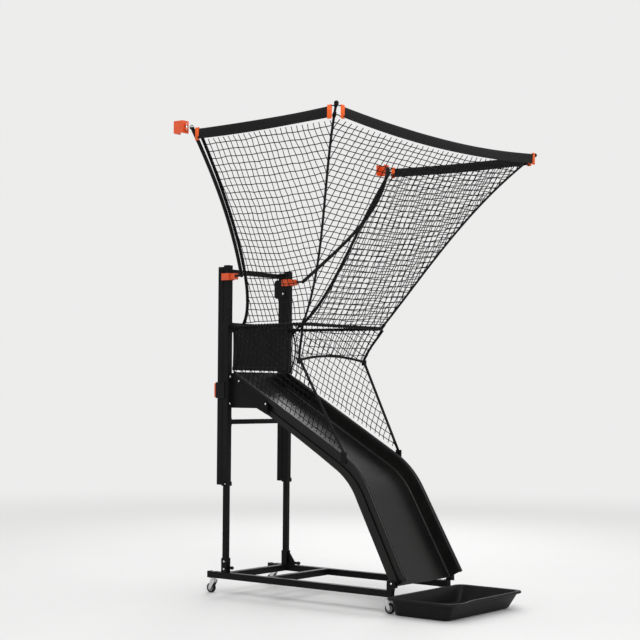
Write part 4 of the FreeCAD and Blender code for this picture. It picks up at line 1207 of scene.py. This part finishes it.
def add_tab(shell, place, back):
    """One tab: webbing folded round the strap's end, its fold rounded, standing across the strap."""
    width = 0.022
    half = 0.031
    gap = 0.0032
    face = back.cross(UP)
    ring = []
    for sign in (1, -1):
        ring.append((sign * gap, -sign * half))
        ring.append((sign * gap, 0.0))
        ring.append((sign * gap, sign * half * 0.96))
        ring.append((sign * gap * 0.4, sign * half))
    rows = []
    for step in range(5):
        shift = back * (width * (step / 4 - 0.5))
        rows.append([place + shift + face * a + UP * b for a, b in ring])
    shell.solid(rows)


def add_whipping(shell, line, share, radius):
    """A few tight turns of cord round a pole."""
    turns = 4
    per_turn = 8
    rise = 0.0064
    centre = line.point(share)
    way = line.way(share)
    normal = way.orthogonal().normalized()
    side = way.cross(normal)
    winding = []
    for step in range(turns * per_turn + 1):
        along = way * (rise * step / per_turn - 0.012)
        turn = 2 * math.pi * step / per_turn
        winding.append(centre + along + turned_way(normal, side, turn) * radius)
    shell.tube(winding, 0.0017)


# ---- stage, light and camera


def build_stage():
    """A wide pale floor under an even sky."""
    radius = 60.0
    edges = 64
    turns = [2 * math.pi * step / edges for step in range(edges)]
    shell = Shell()
    shell.lid([Vector((radius * math.cos(turn), radius * math.sin(turn), 0)) for turn in turns])
    shell.build("studio_floor", stage_floor(), smooth=False)
    world = bpy.data.worlds.new("studio")
    bpy.context.scene.world = world
    world.use_nodes = True
    sky = world.node_tree.nodes["Background"]
    sky.inputs["Color"].default_value = BACKDROP
    sky.inputs["Strength"].default_value = 1.0


def soft_box(name, place, target, width, height, power):
    light = bpy.data.lights.new(name, "AREA")
    light.shape = "RECTANGLE"
    light.size = width
    light.size_y = height
    light.energy = power
    obj = add_object(name, light)
    obj.location = place
    obj.rotation_mode = "QUATERNION"
    obj.rotation_quaternion = (Vector(target) - Vector(place)).to_track_quat("-Z", "Y")


def build_lights():
    soft_box("key_softbox", (-3.4, -3.2, 4.2), (0, 0, 0.9), 2.6, 1.6, 120)
    soft_box("top_softbox", (0.6, 0.4, 4.8), (0, 0, 0.8), 3.6, 3.6, 70)
    soft_box("rim_softbox", (3.8, 2.6, 3.2), (0, 0, 1.1), 1.6, 2.4, 70)


def build_camera():
    """The camera stands to the machine's front left, level with its middle."""
    yaw, pitch, roll = math.radians(52.44), math.radians(0.15), math.radians(0.50)
    forward = Vector((math.sin(yaw) * math.cos(pitch), math.cos(yaw) * math.cos(pitch), math.sin(pitch)))
    right = Vector((math.cos(yaw), -math.sin(yaw), 0))
    up = right.cross(forward)
    across = right * math.cos(roll) + up * math.sin(roll)
    upward = up * math.cos(roll) - right * math.sin(roll)
    turned = Matrix((across, upward, -forward)).transposed().to_4x4()
    data = bpy.data.cameras.new("camera")
    data.sensor_width = 36.0
    data.lens = 83.43
    data.shift_y = 0.104
    camera = add_object("camera", data)
    camera.matrix_world = Matrix.Translation(at(-6.130, -5.135, 1.073)) @ turned
    bpy.context.scene.camera = camera


# ---- what goes on the mast, and what joins it to the base


def build_strap(shell, name, material, node):
    """A strap along a net's top edge, as a sheet of webbing."""
    strap = piece(shell.build(name, material), "mast", "strap_webbing", node)
    smooth_by_angle(strap, 50)


def build_side(tag, side):
    """A side's net, strap and back edge rope, with the tie from the rope to the mast."""
    piece(side_net(side).build("net_side_cords_" + tag, cord), "mast", "net_cord", "net_side_" + tag)
    build_strap(side_strap(side), "side_band_" + tag, black_web, "side_strap_" + tag)
    seam = seam_line(side)
    edge = [seam.point(share) for share in shares(30)]
    anchor = at(side * 0.250, -0.032, 1.380)
    tie = [edge[0], edge[0].lerp(anchor, 0.5) - UP * 0.006, anchor]
    ropes = [wound_rope(edge, 0.0086, 0.030), wound_rope(tie, 0.0060, 0.022)]
    piece(join_shells(ropes).build("net_edge_rope_" + tag, rope), "mast", "net_cord")


def build_skirt():
    """The loose net below the hoop, and the ropes along its edges."""
    nets = [skirt_side(-1), skirt_side(1), skirt_front()]
    soft_piece(join_shells(nets).build("net_skirt_cords", cord), "net_cord", ARCH_HIGH.z, HOOP_Z - 0.02,
               "net_skirt")
    ropes = join_shells(skirt_ropes(-1) + skirt_ropes(1)).build("skirt_edge_ropes", rope)
    soft_piece(ropes, "net_cord", ARCH_HIGH.z, HOOP_Z - 0.02)


# ---- build

build_camera()
build_lights()
build_stage()

steel = powder_coat()
plastic = black_plastic()
orange = orange_plastic()
bolt_zinc = zinc("bolt_zinc", grey(0.78, 0.77), 0.22, 0.38)
caster_zinc = zinc("caster_zinc", grey(0.72, 0.72), 0.20, 0.36)
rubber = wheel_rubber()
hub = wheel_hub()
rod = fibreglass()
cord = net_cord()
rope = edge_rope()
black_web = black_webbing()

# The nodes that keep their own shape, by the start of their names; the others are powder-coated steel.
NODE_LOOKS = (
    (caster_zinc, ("caster_fork", "caster_mounts")),
    (bolt_zinc, ("mast_fittings", "chute_bolts", "frame_bolts")),
    (orange, ("mast_lock", "pole_clip", "board_clip")),
    (rod, ("front_pole", "back_pole")),
    (plastic, ("pole_tips", "rail_end_caps", "sleeve_caps", "mast_caps", "mast_guides", "pull_pin")),
)

for name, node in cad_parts.items():
    look = next((material for material, starts in NODE_LOOKS if name.startswith(starts)), steel)
    node.data.materials.clear()
    node.data.materials.append(look)

build_chute(chute_plastic())
build_tray(tray_plastic())
build_panel(panel_fabric(), black_web)
piece(front_net().build("net_front_cords", cord), "mast", "net_cord", "net_front")
for tag, side in SIDES:
    build_side(tag, side)
build_strap(front_strap(), "front_band", black_web, "front_strap")
build_skirt()
piece(hoop_lacing().build("hoop_lacing", cord), "mast", "net_cord")
build_tabs(orange_webbing(), rope)
for row in ("front_", "rear_"):
    for tag, _ in SIDES:
        build_wheel(row + tag, rubber, hub)

view = bpy.context.scene.view_settings
view.view_transform = "Standard"
view.look = "None"
